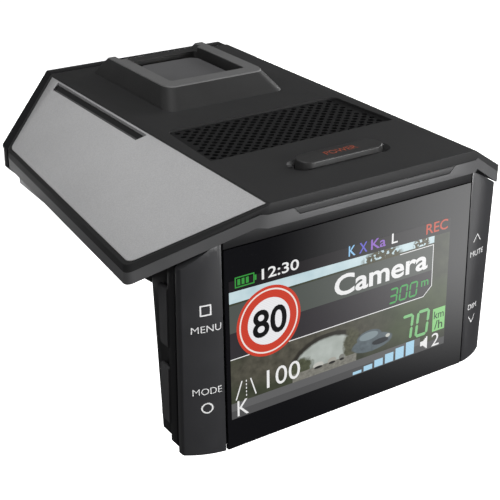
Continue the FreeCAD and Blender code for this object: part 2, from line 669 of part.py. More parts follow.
def rear_trim():
    seat = size("trim_deep") - 1
    return node(prism("trim_strip", "front", trim_points(0), "trim_proud", seat - "trim_proud"), "rear_trim")


# ---------------------------------------------------------------- display unit
def glass_front(drop):
    """Y of the screen's front face at a drop below the roof."""
    lean = math.tan(math.radians(VALUES["glass_tilt"]))
    return size("glass_y") + (size("glass_mid_drop") - drop) * lean


def unit_front_outline(half, grow=0.0):
    """Right half of the display unit in front view, tucked under the eave."""
    top = size("eave_gap") + grow
    chamfer = size("unit_chamfer")
    return [
        (size("band_bend"), -size("band_drop") - top), (size(half), band_line(half) - top),
        (size(half), chamfer - size("unit_bottom") + grow), (size(half) - chamfer, grow - size("unit_bottom")),
    ]


def display_frame():
    wall = size("unit_wall")
    plate = prism("frame_plate", "front", mirrored(unit_front_outline("unit_half")), "key_deck",
                  size("unit_split") - "key_deck")
    seat = size("glass_thick") + "seat_slack"
    back = glass_front(size("unit_bottom")) + seat
    glass_top = -size("glass_mid_drop") + "glass_up" + 0.15
    core_side = prism("frame_core_side", "side", [
        (back, -size("unit_bottom")),
        (back, -size("glass_mid_drop") - "glass_down" - 0.1),
        (glass_front(size("glass_mid_drop") - "glass_up") + seat, glass_top),
        (glass_front(size("glass_mid_drop") - "glass_up"), glass_top),
        (glass_front(0), 0), (size("unit_split"), 0), (size("unit_split"), -size("unit_bottom")),
    ], -size("core_half"), size("core_half") * 2)
    core = overlap("frame_core", core_side, prism("frame_core_front", "front",
                   mirrored(unit_front_outline("core_half")), 0, 30))
    blank = join("frame_blank", [plate, core])
    window_top = -size("glass_mid_drop") + "lcd_up" + 0.5
    before = glass_front("unit_bottom") - 3
    hollow_core = prism("frame_hollow_core", "side", [
        (before, -size("unit_bottom") + wall), (before, window_top),
        (glass_front(-2) + 1.4, window_top), (glass_front(-2) + 1.4, 2),
        (size("unit_split") + 1, 2), (size("unit_split") + 1, -size("unit_bottom") + wall),
    ], -size("core_half") + 1.1, size("core_half") * 2 - 2.2)
    hollow_rim = box("frame_hollow_rim", (-size("unit_half") + wall, size("unit_half") - wall),
                     (size("key_deck") + wall, size("unit_split") + 1), (-size("unit_bottom") + wall, 2))
    holes = []
    for side, word in ((-1, "left"), (1, "right")):
        for drop in KEY_DROPS:
            holes.append(rod("frame_hole_%s_%s" % (drop, word), "switch_hole",
                             (switch_x() * side, size("key_deck") - 1, -size(drop)), 4, "away"))
    bosses = []
    start = size("key_deck") + wall
    for i, (x, z) in enumerate(unit_screws()):
        bosses.append(rod("frame_boss%d" % i, "unit_boss_radius", (x, start - 0.5, z),
                          size("unit_split") - start + 0.5, "away"))
        holes.append(rod("frame_screw_hole%d" % i, size("unit_screw_radius") + "screw_gap",
                         (x, start - 0.8, z), 5, "away"))
    shell = cut("frame_hollowed", blank, [hollow_core, hollow_rim])
    return node(cut("frame_cut", join("frame_bossed", [shell] + bosses), holes), "display_frame")


def back_wall_points(inset):
    """The display unit's rear half in side view."""
    return [
        (size("unit_split"), -size("unit_bottom") + inset),
        (size("back_low_y") - inset, -size("unit_bottom") + inset),
        (size("back_top_y") - inset, size(0) - "band_drop"),
        (size("unit_split"), size(0) - "band_drop"),
    ]


def display_back():
    wall = size("unit_wall")
    half = size("back_half")
    front = prism("back_front", "front", mirrored(unit_front_outline("back_half")), 0, 40)
    side_block = prism("back_side", "side", back_wall_points(size(0)), -half, half * 2)
    blank = overlap("back_blank", side_block, front)
    hollow_side = back_wall_points(wall)
    hollow_side[2] = (size("back_top_y") - wall, 0)
    hollow_side[3] = (size("unit_split") - 1, 0)
    hollow_side[0] = (size("unit_split") - 1, -size("unit_bottom") + wall)
    hollow = prism("back_hollow", "side", hollow_side, -half + wall, (half - wall) * 2)
    clear = half - 15
    tools = [hollow, box("back_window", (-clear, clear), (size("unit_split") + 2, size("back_top_y") + 4), (-21, 1))]
    for i, top in enumerate(("door_upper_top", "door_lower_top")):
        middle = -(size(top) + size("door_high") / 2)
        tools.append(box("card_slot%d" % i, (-half - 1, -half + 3),
                         (size("door_y") - size("card_slot") / 2, size("door_y") + size("card_slot") / 2),
                         (middle - size("card_wide") / 2, middle + size("card_wide") / 2)))
    tools.append(inlet_block("inlet_hole", size("fit_gap"), half - 3, half + 1))
    shell = cut("back_hollowed", blank, tools)
    bosses = [rod("back_boss%d" % i, "unit_boss_radius", (x, "unit_split", z), 20, "away")
              for i, (x, z) in enumerate(unit_screws())]
    posts = overlap("back_posts", join("back_bosses", bosses), prism(
        "back_side_again", "side", back_wall_points(size(0)), -half, half * 2))
    holes = []
    for i, (x, z) in enumerate(unit_screws()):
        holes.append(rod("back_screw%d" % i, size("unit_screw_radius") + "screw_gap",
                         (x, size("unit_split") - 1, z), 9, "away"))
        holes.append(rod("back_sink%d" % i, size("unit_head_radius") + "head_gap",
                         (x, "unit_head_y", z), 12, "away"))
    return node(cut("back_cut", join("back_bossed", [shell, posts]), holes), "display_back")


def inlet_block(name, grow, low, high, inset=0.0):
    """The power inlet's block along X, grown or drawn in all round."""
    change = size(grow) - inset
    wide = size("inlet_high") / 2 + change
    tall = size("inlet_long") / 2 + change
    return box(name, (low, high), (size("door_y") - wide, size("door_y") + wide),
               (-size("inlet_drop") - tall, -size("inlet_drop") + tall))


def unit_screws():
    """Where the display unit's screws stand, as (x, z)."""
    return [(size("unit_screw_x") * side, -size(drop)) for side in (-1, 1)
            for drop in ("unit_screw_low", "unit_screw_high")]


def display_screws():
    """Four small screws that hold the display unit's rear half."""
    parts = []
    start = size("key_deck") + "unit_wall"
    for i, (x, z) in enumerate(unit_screws()):
        shaft = rod("unit_shaft%d" % i, "unit_screw_radius", (x, start, z), size("unit_head_y") - start, "away")
        head = rod("unit_head%d" % i, "unit_head_radius", (x, "unit_head_y", z), "unit_head_high", "away")
        parts.append(join("unit_screw%d" % i, [shaft, head]))
    return node(group("unit_shafts", parts), "display_screws")


def tilted(name, x, up, depth):
    """A slab parallel to the tilted screen, as a Body: x and up are (low, high) pairs."""
    body = doc.addObject("PartDesign::Body", name + "_body")
    plane = [f for f in body.Origin.OriginFeatures if f.Role == "XZ_Plane"][0]
    sketch = body.newObject("Sketcher::SketchObject", name + "_face")
    sketch.AttachmentSupport = [(plane, "")]
    sketch.MapMode = "FlatFace"
    bind(sketch, "AttachmentOffset.Base.z", -size(depth[0]))
    outline(sketch, [(x[0], up[0]), (x[1], up[0]), (x[1], up[1]), (x[0], up[1])])
    pad = body.newObject("PartDesign::Pad", name + "_pad")
    pad.Profile = sketch
    pad.Reversed = True
    bind(pad, "Length", size(depth[1]) - size(depth[0]))
    body.Placement = Placement(Vector(), Rotation(Vector(-1, 0, 0), VALUES["glass_tilt"]))
    bind(body, "Placement.Rotation.Angle", "glass_tilt")
    put(body, 0, "glass_y", -size("glass_mid_drop"))
    return body


def screen():
    half = size("glass_half")
    node(tilted("glass", (-half, half), (-size("glass_down"), "glass_up"), (0, "glass_thick")), "screen_glass")
    start = size("glass_thick") + "seat_slack"
    node(tilted("lcd", (-size("lcd_left"), "lcd_right"), (-size("lcd_down"), "lcd_up"), (start, start + "lcd_thick")),
         "lcd_module")


KEY_DROPS = ("key_upper", "key_lower")


def key_section(side, drop):
    """Cross-section of a key strip: a flat back and a gently crowned face."""
    inner = VALUES["core_half"] + VALUES["key_gap"]
    outer = VALUES["unit_half"]
    face = glass_front(drop).value + 0.15
    corner = VALUES["unit_front"]
    lean = math.hypot(outer - inner, corner - face)
    bulge = VALUES["key_bulge"]
    crown = ((inner + outer) / 2 + bulge * (corner - face) / lean,
             (face + corner) / 2 - bulge * (outer - inner) / lean)
    places = [(inner, face), crown, (outer - 0.25, corner - 0.35), (outer, corner + 0.35),
              (outer, VALUES["key_back"]), (inner, VALUES["key_back"])]
    a, top, b, c, d, e = [Vector(side * x, y - VALUES["seat_y"], -drop - VALUES["seat_top"]) for x, y in places]
    sides = [Part.makeLine(*pair) for pair in ((b, c), (c, d), (d, e), (e, a))]
    return Part.Wire([Part.Arc(a, top, b).toShape()] + sides)


def switch_x():
    """X of the key switches, just inside the rear half's side wall."""
    return size("back_half") - "unit_wall" - "switch_side_gap" - "switch_half"


def key_strip(side, word):
    """One rocker key strip beside the screen, with its rocking ridge behind."""
    loft = doc.addObject("Part::Feature", "key_loft_" + word)
    ends = [key_section(side, drop) for drop in (VALUES["key_low"], VALUES["band_drop"])]
    loft.Shape = Part.makeLoft(ends, True, True)
    gap = size("key_under_eave")
    inner = size("core_half") - 7
    top = [(inner, -size("band_drop") - gap), (size("band_bend"), -size("band_drop") - gap),
           (WIDE, band_line(WIDE) - gap), (WIDE, -TALL * 2), (inner, -TALL * 2)]
    trim = prism("key_trim_" + word, "front", [(size(a) * side, b) for a, b in top], 0, 30)
    strip = overlap("key_strip_" + word, loft, trim)
    low = size("core_half") + "key_gap" + 1 if side > 0 else -size("unit_half") + 1
    length = size("unit_half") - "core_half" - "key_gap" - 2
    middle = -(size("key_upper") + "key_lower") / 2
    ridge = rod("key_ridge_" + word, "key_ridge", (low, "key_back", middle), length, "right")
    return node(join("key_joined_" + word, [strip, ridge]), word + "_keys")


def key_switches(side, word):
    """The two small switches that one key strip presses."""
    parts = []
    x = switch_x() * side
    tall = size("switch_half") + 0.4
    for drop in KEY_DROPS:
        tail = "%s_%s" % (drop, word)
        z = -size(drop)
        stem = rod("stem_" + tail, "switch_stem", (x, size("key_back") + 0.3, z), 2.8, "away")
        base = box("base_" + tail, (x - "switch_half", x + "switch_half"),
                   (size("key_deck") + "unit_wall" + 0.4, size("unit_split") + 0.2), (z - tall, z + tall))
        parts.append(join("switch_" + tail, [stem, base]))
    return node(group("switches_" + word, parts), word + "_key_switches")


def card_door(top, word):
    """A hinged rubber door over a memory-card slot; its knuckle is at the top."""
    half = size("back_half")
    face = -half - "door_gap"
    y = (size("door_y") - size("door_wide") / 2, size("door_y") + size("door_wide") / 2)
    knuckle = size("knuckle_radius")
    plate = prism("door_plate_" + word, "side", [
        (y[0], -size(top) - knuckle), (y[0], -size(top) - "door_high"), (y[1] - 0.4, -size(top) - "door_high"),
        (y[1], -size(top) - "door_high" + 0.8), (y[1], -size(top) - knuckle)], face - "door_thick", "door_thick")
    pin = rod("door_knuckle_" + word, knuckle, (face - knuckle, y[0], -size(top) - knuckle), y[1] - y[0], "away")
    middle = -(size(top) + size("door_high") / 2)
    thin = size("card_slot") / 2 - 0.25
    plug = box("door_plug_" + word, (face, face + 1.1), (size("door_y") - thin, size("door_y") + thin),
               (middle - size("card_wide") / 2 + 0.3, middle + size("card_wide") / 2 - 1.2))
    return node(join("door_" + word, [plate, pin, plug]), "card_door_" + word)


def card_socket(top, word):
    middle = -(size(top) + size("door_high") / 2)
    inner = -size("back_half") + "unit_wall"
    thick = size("socket_thick") / 2
    tall = size("card_wide") / 2 + "socket_wall"
    shell = box("socket_shell_" + word, (inner, inner + "card_deep"), (size("door_y") - thick, size("door_y") + thick),
                (middle - tall, middle + tall))
    thin = thick - 0.4
    slot = box("socket_slot_" + word, (inner - 1, inner + "card_deep" - 0.5), (size("door_y") - thin, size("door_y") + thin),
               (middle - tall + 1.3, middle + tall - 1.3))
    return node(cut("socket_" + word, shell, [slot]), "card_socket_" + word)


# ---------------------------------------------------------------- inside the display unit
def display_inside():
    half = size("core_half") - 1.4
    board_back = size("unit_split") - 1.4
    board = (board_back - "panel_board_thick", board_back)
    board_low = -size("unit_bottom") + 2.4
    board_high = -size("glass_mid_drop") + 8
    node(box("display_board_block", (-half + 6.2, half), board, (board_low, board_high)), "display_board")
    node(box("display_chip_block", (-6, 8), (board_back, board_back + "chip_thick"), (-48, -34)), "display_chip")
    outer = size("back_half")
    rear = outer - "unit_wall" - "inlet_deep"
    shell = inlet_block("inlet_shell", 0, rear, outer - 0.2)
    mouth = inlet_block("inlet_mouth", 0, rear + 1, outer + 1, inset=size("inlet_wall"))
    node(cut("inlet_cut", shell, [mouth]), "power_inlet")
    foil = size("ribbon_thick")
    far = size("belly_near") + 4.0
    rise = -size("board_drop") - 0.35
    points = [(board_back, board_high + 0.4), (board_back, -15.0), (far, rise),
              (far, rise + foil - 0.05), (board_back - foil, foil - 15.0), (board_back - foil, board_high + 0.4)]
    node(prism("ribbon", "side", points, -size("ribbon_half"), size("ribbon_half") * 2), "display_ribbon")


# ---------------------------------------------------------------- inside the head
def head_inside():
    top = -size("board_drop") + "board_thick"
    near = size("belly_near") + 4.2
    half = size("board_half")
    node(box("main_board_block", (-half, half), (near, "board_far"), (-size("board_drop"), top)), "main_board")
    node(box("cpu_shield_block", (6, 27), (54, 67), (top, top + 2.4)), "processor_shield")
    patch = box("gps_patch_block", (-27, -9), (52.5, 68), (top, top + 4.0))
    node(rounded("gps_patch_round", patch, 1.0, is_upright), "gps_antenna")
    gasket = -(size("roof_wall") + "fit_gap")
    long = size("speaker_long") / 2
    wide = size("speaker_wide") / 2
    centre = (size("grille_near") + "grille_far") / 2
    bottom = gasket - "speaker_deep"
    run = long - wide
    pieces = [box("speaker_mid", (-run, run), (centre - wide, centre + wide), (bottom, gasket))]
    pieces += [rod("speaker_end%d" % i, wide, (run * side, centre, bottom), "speaker_deep")
               for i, side in enumerate((-1, 1))]
    node(join("speaker_body", pieces), "speaker")
    floor = -size("belly_drop") + "shell_wall"
    battery = box("battery_block", (-size("battery_half"), "battery_half"),
                  ("battery_near", size("battery_near") + "battery_long"), (floor, floor + "battery_thick"))
    node(battery, "backup_battery")
    sensors_inside()
    button_inside()


def sensors_inside():
    """The radar horn with its board, and the laser sensor, behind the bezel."""
    taper = (size("tip_far_half") - "roof_half_far") / (size("roof_depth") - "tip_far")
    outside = size("roof_half_far") + size("horn_far") * taper - "horn_clear"
    across = (-outside, -size("horn_in"))
    far = size("roof_depth") - "horn_far"
    near = far - "horn_long"
    horn = box("horn_outer", across, (near, far), (-size("horn_low"), -size("horn_top")))
    node(rounded("horn_block", horn, 1.0, lambda e: abs(mid(e).y - near.value) < 0.1), "horn_antenna")
    board = box("radar_board_block", across, (near, near + "radar_board_long"),
                (-size("horn_top"), size("radar_board_thick") - "horn_top"))
    node(board, "radar_board")
    inside = size("laser_in") + "laser_sensor_in"
    half = size("laser_sensor_half")
    sensor = box("laser_block", (inside, size("laser_in") + "laser_wide" - "laser_sensor_in"),
                 (size("roof_depth") - "laser_sensor_near", size("roof_depth") - "laser_sensor_far"),
                 (-size("laser_drop") - half, -size("laser_drop") + half))
    node(sensor, "laser_sensor")


def button_inside():
    """The small board under the power button, and its switch."""
    stem_end = -(size("roof_wall") + "fit_gap" + "button_flange") - "stem_long"
    switch_top = stem_end - "button_travel" - 0.1
    board_top = switch_top - 1.5
    half = size("button_long") / 2 + 0.85
    board = box("button_board_block", (-half, half), (size("button_y") - 4.2, size("button_y") + 3.8),
                (board_top - 1.2, board_top))
    node(board, "button_board")
    block = box("switch_box", (-2.6, 2.6), (size("button_y") - 2.6, size("button_y") + 2.6), (board_top, switch_top))
    node(rounded("button_switch_block", block, 0.4, is_upright), "power_switch")


def case_screws():
    """Four screws driven up through the lower shell into the upper one."""
    parts = []
    base = -size("belly_drop") + "sink_deep"
    for i, (x, y) in enumerate(screw_places()):
        shaft = rod("case_shaft%d" % i, "screw_radius", (x, y, base), "screw_long")
        head = rod("case_head%d" % i, "head_radius", (x, y, base - "head_high"), "head_high")
        parts.append(join("case_screw%d" % i, [shaft, head]))
    return node(group("case_screw_group", parts), "case_screws")


# ---------------------------------------------------------------- build, check and write
def build():
    upper_shell()
    for side, word in ((-1, "left"), (1, "right")):
        side_panel(side, word)
        key_strip(side, word)
        key_switches(side, word)
    speaker_grille()
    power_button()
    mount_collar()
    bracket_seat()
    front_bezel()
    camera()
    lower_shell()
    rear_trim()
    display_frame()
    display_back()
    display_screws()
    screen()
    for top, word in (("door_upper_top", "upper"), ("door_lower_top", "lower")):
        card_door(top, word)
        card_socket(top, word)
    display_inside()
    head_inside()
    case_screws()


def check_and_write():
    doc.recompute()
    for obj in doc.Objects:
        if "Invalid" in obj.State or "Error" in obj.State:
            raise RuntimeError("failed: %s %s" % (obj.Label, obj.State))
    for obj in NODES:
        if obj.Shape.isNull() or not obj.Shape.isValid() or not obj.Shape.Solids:
            raise RuntimeError("bad shape: " + obj.Label)
    os.makedirs("parts", exist_ok=True)
    for obj in NODES:
        obj.Shape.exportStep("parts/%s.step" % obj.Label)
        print("%-22s solids %d  volume %9.1f" % (obj.Label, len(obj.Shape.Solids), obj.Shape.Volume))


build()
check_and_write()
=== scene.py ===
# %% [markdown]
# # A windscreen radar detector with a dash camera
# The imported CAD model is the frame: it holds every size and every moving part. This script gives each visible
# piece its finish, rebuilds the casings with small rounded edges, and adds what CAD leaves out: printed legends,
# the lit picture on the screen and the camera and lights of a small product studio.

# %% Load the frame
import json
import math

import bmesh
import bpy
from mathutils import Matrix, Vector
from mathutils.bvhtree import BVHTree
from mathutils.geometry import intersect_point_line


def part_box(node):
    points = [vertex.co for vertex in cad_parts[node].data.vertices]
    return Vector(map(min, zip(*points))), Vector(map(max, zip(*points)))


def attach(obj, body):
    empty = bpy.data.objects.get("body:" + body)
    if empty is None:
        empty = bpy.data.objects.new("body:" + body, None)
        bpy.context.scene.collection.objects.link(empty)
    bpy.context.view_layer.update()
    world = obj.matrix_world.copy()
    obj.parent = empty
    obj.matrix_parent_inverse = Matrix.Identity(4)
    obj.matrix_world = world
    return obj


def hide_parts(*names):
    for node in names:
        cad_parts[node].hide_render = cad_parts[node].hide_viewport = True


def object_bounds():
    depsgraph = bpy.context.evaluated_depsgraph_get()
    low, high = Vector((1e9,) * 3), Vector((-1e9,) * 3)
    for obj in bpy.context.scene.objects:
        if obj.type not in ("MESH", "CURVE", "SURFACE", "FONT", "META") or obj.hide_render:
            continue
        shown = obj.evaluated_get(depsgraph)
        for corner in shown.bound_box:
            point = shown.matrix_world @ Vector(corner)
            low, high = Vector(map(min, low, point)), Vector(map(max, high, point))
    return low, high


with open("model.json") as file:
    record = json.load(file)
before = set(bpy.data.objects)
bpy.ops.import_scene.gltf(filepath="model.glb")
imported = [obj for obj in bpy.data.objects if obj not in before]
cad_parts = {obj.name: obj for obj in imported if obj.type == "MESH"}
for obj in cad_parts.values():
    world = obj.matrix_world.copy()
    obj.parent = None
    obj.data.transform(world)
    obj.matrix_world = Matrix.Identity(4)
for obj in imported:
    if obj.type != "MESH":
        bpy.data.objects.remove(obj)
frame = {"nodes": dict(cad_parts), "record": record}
CAD_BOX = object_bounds()
NODES = frame["nodes"]
MM = 0.001
print("frame:", len(NODES), "nodes, box", [[round(v / MM, 1) for v in corner] for corner in CAD_BOX])

# %% [markdown]
# ## Camera
# A long lens close to the device gives the strong perspective of a product shot: the viewer stands to the left of
# the driver's line, a little above the roof, and looks down at the screen. The camera's axes are worked out from an
# azimuth, an elevation and a slight roll, so each can be changed by itself.

# %% Camera
AZIMUTH = math.radians(-33.74)
ELEVATION = math.radians(25.49)
ROLL = math.radians(0.43)
EYE_POINT = Vector((-160.48, -273.52, 95.43)) * MM
LENS_MM = 83.9
SENSOR_MM = 36.0
NEAREST_SEEN = 10 * MM


def studio_camera():
    """A camera at the eye point, looking down along the azimuth and elevation."""
    back = Vector((math.sin(AZIMUTH) * math.cos(ELEVATION), -math.cos(AZIMUTH) * math.cos(ELEVATION),
                   math.sin(ELEVATION)))
    right = (-back).cross(Vector((0, 0, 1))).normalized()
    up = right.cross(-back)
    tilted_right = right * math.cos(ROLL) + up * math.sin(ROLL)
    tilted_up = up * math.cos(ROLL) - right * math.sin(ROLL)
    data = bpy.data.cameras.new("studio_camera")
    data.lens = LENS_MM
    data.sensor_width = SENSOR_MM
    data.clip_start = NEAREST_SEEN
    camera = bpy.data.objects.new("studio_camera", data)
    turn = Matrix((tilted_right, tilted_up, back)).transposed()
    camera.matrix_world = Matrix.Translation(EYE_POINT) @ turn.to_4x4()
    bpy.context.collection.objects.link(camera)
    bpy.context.scene.camera = camera


studio_camera()
bpy.context.scene.view_settings.view_transform = "Standard"
print("camera at", [round(v, 3) for v in EYE_POINT])

# %% [markdown]
# ## Shader sums written as Python
# A finish is easier to read as `rough = 0.4 + 0.1 * grain` than as a list of nodes and links. One small class wraps
# a socket and turns the operators into Math nodes; a Finish holds one material and makes any other node.


# %% Wires and finishes
class Wire:
    """An output socket that can be added, multiplied and compared."""

    def __init__(self, finish, socket):
        self.finish = finish
        self.socket = socket

    def math(self, operation, first, second=0.0):
        return self.finish.add("ShaderNodeMath", {"operation": operation}, {0: first, 1: second})

    def __add__(self, other):
        return self.math("ADD", self, other)

    __radd__ = __add__

    def __mul__(self, other):
        return self.math("MULTIPLY", self, other)

    __rmul__ = __mul__

    def __sub__(self, other):
        return self.math("SUBTRACT", self, other)

    def __rsub__(self, other):
        return self.math("SUBTRACT", other, self)

    def __gt__(self, other):
        return self.math("GREATER_THAN", self, other)

    def __lt__(self, other):
        return self.math("LESS_THAN", self, other)


# The Mix node has a set of sockets for each kind of value; these two are its colours.
LOW_COLOUR, HIGH_COLOUR = 6, 7


class Finish:
    """One material: constants sit on the shader's own sockets, and wires vary a few of them."""

    def __init__(self, name, color, **constants):
        self.material = bpy.data.materials.new(name)
        self.material.use_nodes = True
        self.tree = self.material.node_tree
        self.shader = self.tree.nodes["Principled BSDF"]
        self.shader.inputs["Base Color"].default_value = (*color, 1.0)
        self.material.diffuse_color = (*color, 1.0)
        for key, value in constants.items():
            self.shader.inputs[key.replace("_", " ")].default_value = value

    def add(self, kind, settings=None, inputs=None, output=0):
        """A node of any kind: settings first, then values or links for its sockets."""
        made = self.tree.nodes.new(kind)
        for key, value in (settings or {}).items():
            setattr(made, key, value)
        for key, value in (inputs or {}).items():
            if isinstance(value, Wire):
                self.tree.links.new(value.socket, made.inputs[key])
            else:
                made.inputs[key].default_value = value
        return Wire(self, made.outputs[output])

    def place(self):
        return self.add("ShaderNodeTexCoord", output="Object")

    def axis(self, letter):
        """One object coordinate, in millimetres."""
        return self.add("ShaderNodeSeparateXYZ", {}, {"Vector": self.place()}, letter) * (1.0 / MM)

    def stretched(self, scale):
        """Object coordinates stretched along the axes, for brushed or drawn patterns."""
        return self.add("ShaderNodeMapping", inputs={"Vector": self.place(), "Scale": scale})

    def grain(self, size_mm, detail=2.0, where=None):
        """Noise whose features are about size_mm across."""
        return self.add("ShaderNodeTexNoise", inputs={
            "Vector": where or self.place(), "Scale": 1.0 / (size_mm * MM), "Detail": detail})

    def mix(self, share, low, high):
        """A colour between two colours."""
        low, high = (color if isinstance(color, Wire) else (*color, 1.0) for color in (low, high))
        return self.add("ShaderNodeMix", {"data_type": "RGBA"}, {0: share, LOW_COLOUR: low, HIGH_COLOUR: high}, 2)

    def feed(self, name, wire):
        self.tree.links.new(wire.socket, self.shader.inputs[name])

    def bump(self, height, depth_mm, strength=1.0):
        """Relief of a real depth, from a height wire."""
        self.feed("Normal", self.add("ShaderNodeBump", inputs={
            "Strength": strength, "Distance": depth_mm * MM, "Height": height}))

    def paint(self, *objects):
        for obj in objects:
            obj.data.materials.clear()
            obj.data.materials.append(self.material)


print("shader helpers ready")

# %% [markdown]
# ## Finishes of the casings
# The roof, collar and button are black moulded plastic with a fine spark-eroded grain: almost no shine, and a
# touch lighter where light grazes it. The lower shell is the same plastic in graphite. The side panels carry a
# silver-grey metallic paint, so their colour comes half from flakes that mirror the studio.


# %% Moulded plastics and paint
def moulded(name, color, roughness, grain_mm=0.28, depth_mm=0.012, patch=0.16, shine=0.4):
    """Spark-eroded plastic: fine relief, faint cloudy patches and uneven shine."""
    finish = Finish(name, color, Roughness=roughness, Specular_IOR_Level=shine)
    clouds = finish.grain(9.0, 3.0)
    pits = finish.grain(grain_mm, 1.0)
    light = tuple(min(1.0, c * (1 + patch)) for c in color)
    dark = tuple(c * (1 - patch) for c in color)
    finish.feed("Base Color", finish.mix(clouds, dark, light))
    finish.feed("Roughness", roughness - 0.07 + 0.10 * clouds + 0.06 * pits)
    finish.bump(pits, depth_mm, 0.55)
    return finish


def silver_paint():
    """Metallic paint: flakes of slightly different grey under a satin clear coat."""
    finish = Finish("satin_silver_paint", (0.36, 0.36, 0.37), Metallic=0.62, Roughness=0.36)
    flake_mm = 0.16
    flakes = finish.add("ShaderNodeTexVoronoi", {}, {
        "Vector": finish.place(), "Scale": 1.0 / (flake_mm * MM)}, "Color")
    sparkle = finish.add("ShaderNodeSeparateColor", {}, {0: flakes})
    clouds = finish.grain(14.0, 2.0)
    dull, bright = (0.50, 0.50, 0.505), (0.80, 0.80, 0.805)
    finish.feed("Base Color", finish.mix(0.35 * sparkle + 0.3 * clouds, dull, bright))
    finish.feed("Roughness", 0.36 + 0.05 * sparkle + 0.05 * clouds)
    finish.bump(finish.grain(0.12, 1.0), 0.003, 0.5)
    return finish


def gloss_black(name, color=(0.008, 0.008, 0.009)):
    """Polished black: a hard shine with very faint moulding waves and dust."""
    finish = Finish(name, color, Roughness=0.08, Specular_IOR_Level=0.5)
    waves = finish.grain(18.0, 2.0)
    dust = finish.grain(0.5, 3.0)
    finish.feed("Roughness", 0.05 + 0.05 * waves + 0.12 * (dust > 0.72))
    finish.bump(waves, 0.03, 0.2)
    return finish


print("finish makers ready")

# %% Casing finishes
ROOF_BLACK = moulded("roof_black_plastic", (0.0155, 0.0155, 0.016), 0.58, shine=0.28)
GRAPHITE = moulded("graphite_plastic", (0.082, 0.082, 0.084), 0.42)
TRIM_GREY = moulded("trim_plastic", (0.046, 0.046, 0.047), 0.38)
SEAT_GREY = moulded("seat_plastic", (0.105, 0.105, 0.108), 0.50)
UNIT_BLACK = moulded("display_unit_plastic", (0.008, 0.008, 0.0088), 0.44, 0.22, 0.008, shine=0.25)
KEY_SATIN = moulded("key_strip_plastic", (0.026, 0.026, 0.028), 0.33, 0.18, 0.004)
BUTTON_BLACK = moulded("button_plastic", (0.028, 0.028, 0.028), 0.36, 0.2, 0.006)
VENT_BLACK = moulded("vent_plastic", (0.006, 0.006, 0.0065), 0.60, shine=0.16)
DOOR_RUBBER = moulded("door_rubber", (0.050, 0.050, 0.052), 0.58, 0.2, 0.01)
SILVER = silver_paint()
PIANO = gloss_black("piano_black_bezel")
GLASS_BLACK = gloss_black("screen_border_glass", (0.006, 0.006, 0.007))
print("casing finishes:", len(bpy.data.materials))

# %% [markdown]
# ## Two finishes with painted light along a piece
# The collar's top rim is painted paler than its sides, a painted highlight where light falls on the flat top. The long
# side vent has a paler band along its outer side, a painted highlight where a moulded lip catches the light. Both
# could be pieces of their own, but each is one moulding on the real object, so the finish compares an object
# coordinate with the place where the painted tone changes.


# %% Collar and side vent
COLLAR_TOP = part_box("mount_collar")[1].z / MM
# Depth of the painted highlight on the collar's top rim, in mm.
COLLAR_HIGHLIGHT_DEPTH = 0.25
# Width of the painted highlight along the side vent's outer lip, in mm.
LIP_HIGHLIGHT_WIDTH = 0.85


def grey(level):
    return (level, level, level)


def collar_plastic():
    """The collar: its top rim is painted paler than its dark sides, a painted highlight where light falls on the flat
    top.
    """
    finish = moulded("collar_plastic", (0.026, 0.026, 0.027), 0.40)
    # Painted highlight: the band above this height is painted pale, where light falls on the collar's top.
    rim = finish.axis("Z") > COLLAR_TOP - COLLAR_HIGHLIGHT_DEPTH
    cloud = finish.grain(7.0, 2.0)
    sides = finish.mix(cloud, grey(0.022), grey(0.030))
    # Colour of the painted highlight on the top rim; the sides keep the plastic's own dark tone.
    top = finish.mix(cloud, grey(0.135), grey(0.165))
    finish.feed("Base Color", finish.mix(rim, sides, top))
    return finish


def vent_with_lip_highlight():
    """The long side vent: black, with a paler band along its outer side, a painted highlight where the lip catches the
    light.
    """
    finish = moulded("vent_plastic_lip_highlight", (0.006, 0.006, 0.0065), 0.55, shine=0.2)
    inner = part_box("side_vent_right")[1].x / MM - LIP_HIGHLIGHT_WIDTH
    across = finish.axis("X")
    # Painted highlight: a paler band along the outer side, where the vent's lip catches the light.
    lip_highlight = 1.0 - (across < inner) * (across > -inner)
    finish.feed("Base Color", finish.mix(lip_highlight, (0.006, 0.006, 0.0065), (0.085, 0.085, 0.087)))
    return finish


COLLAR_GREY = collar_plastic()
VENT_LIP_HIGHLIGHT = vent_with_lip_highlight()
print("collar top at", round(COLLAR_TOP, 1), "mm, rim", COLLAR_HIGHLIGHT_DEPTH, "mm deep, vent lip", LIP_HIGHLIGHT_WIDTH, "mm wide")

# %% [markdown]
# ## Finishes of the inner parts
# The parts inside are seen only through the grille and the slots, or with the casing taken off, but they are real
# pieces: green boards with copper traces, nickel-plated cans and screws, die-cast metal, ceramic and film.


# %% Metals, boards and small parts
def plated(name, color, roughness=0.28):
    """Plated metal with faint drawn lines."""
    finish = Finish(name, color, Metallic=1.0, Roughness=roughness)
    lines = finish.grain(0.3, 2.0, finish.stretched((1.0, 0.06, 1.0)))
    finish.feed("Roughness", roughness - 0.05 + 0.14 * lines)
    finish.bump(lines, 0.002, 0.4)
    return finish


def circuit_board():
    """Green solder mask with raised traces and speckled pads."""
    finish = Finish("circuit_board", (0.012, 0.10, 0.045), Roughness=0.34)
    cells = finish.add("ShaderNodeTexBrick", {"offset": 0.5}, {
        "Vector": finish.place(), "Scale": 1.0 / (3.0 * MM), "Mortar Size": 0.03, "Color1": (0, 0, 0, 1),
        "Color2": (0.1, 0.1, 0.1, 1), "Mortar": (1, 1, 1, 1)}, "Fac")
    finish.feed("Base Color", finish.mix(cells, (0.010, 0.085, 0.04), (0.02, 0.17, 0.07)))
    finish.bump(cells, 0.03, 0.6)
    return finish


def cast_metal():
    """Die-cast metal with the uneven skin of its mould."""
    finish = Finish("die_cast_metal", (0.55, 0.55, 0.56), Metallic=1.0, Roughness=0.45)
    skin = finish.grain(0.8, 4.0)
    finish.feed("Roughness", 0.35 + 0.25 * skin)
    finish.bump(skin, 0.03, 0.5)
    return finish


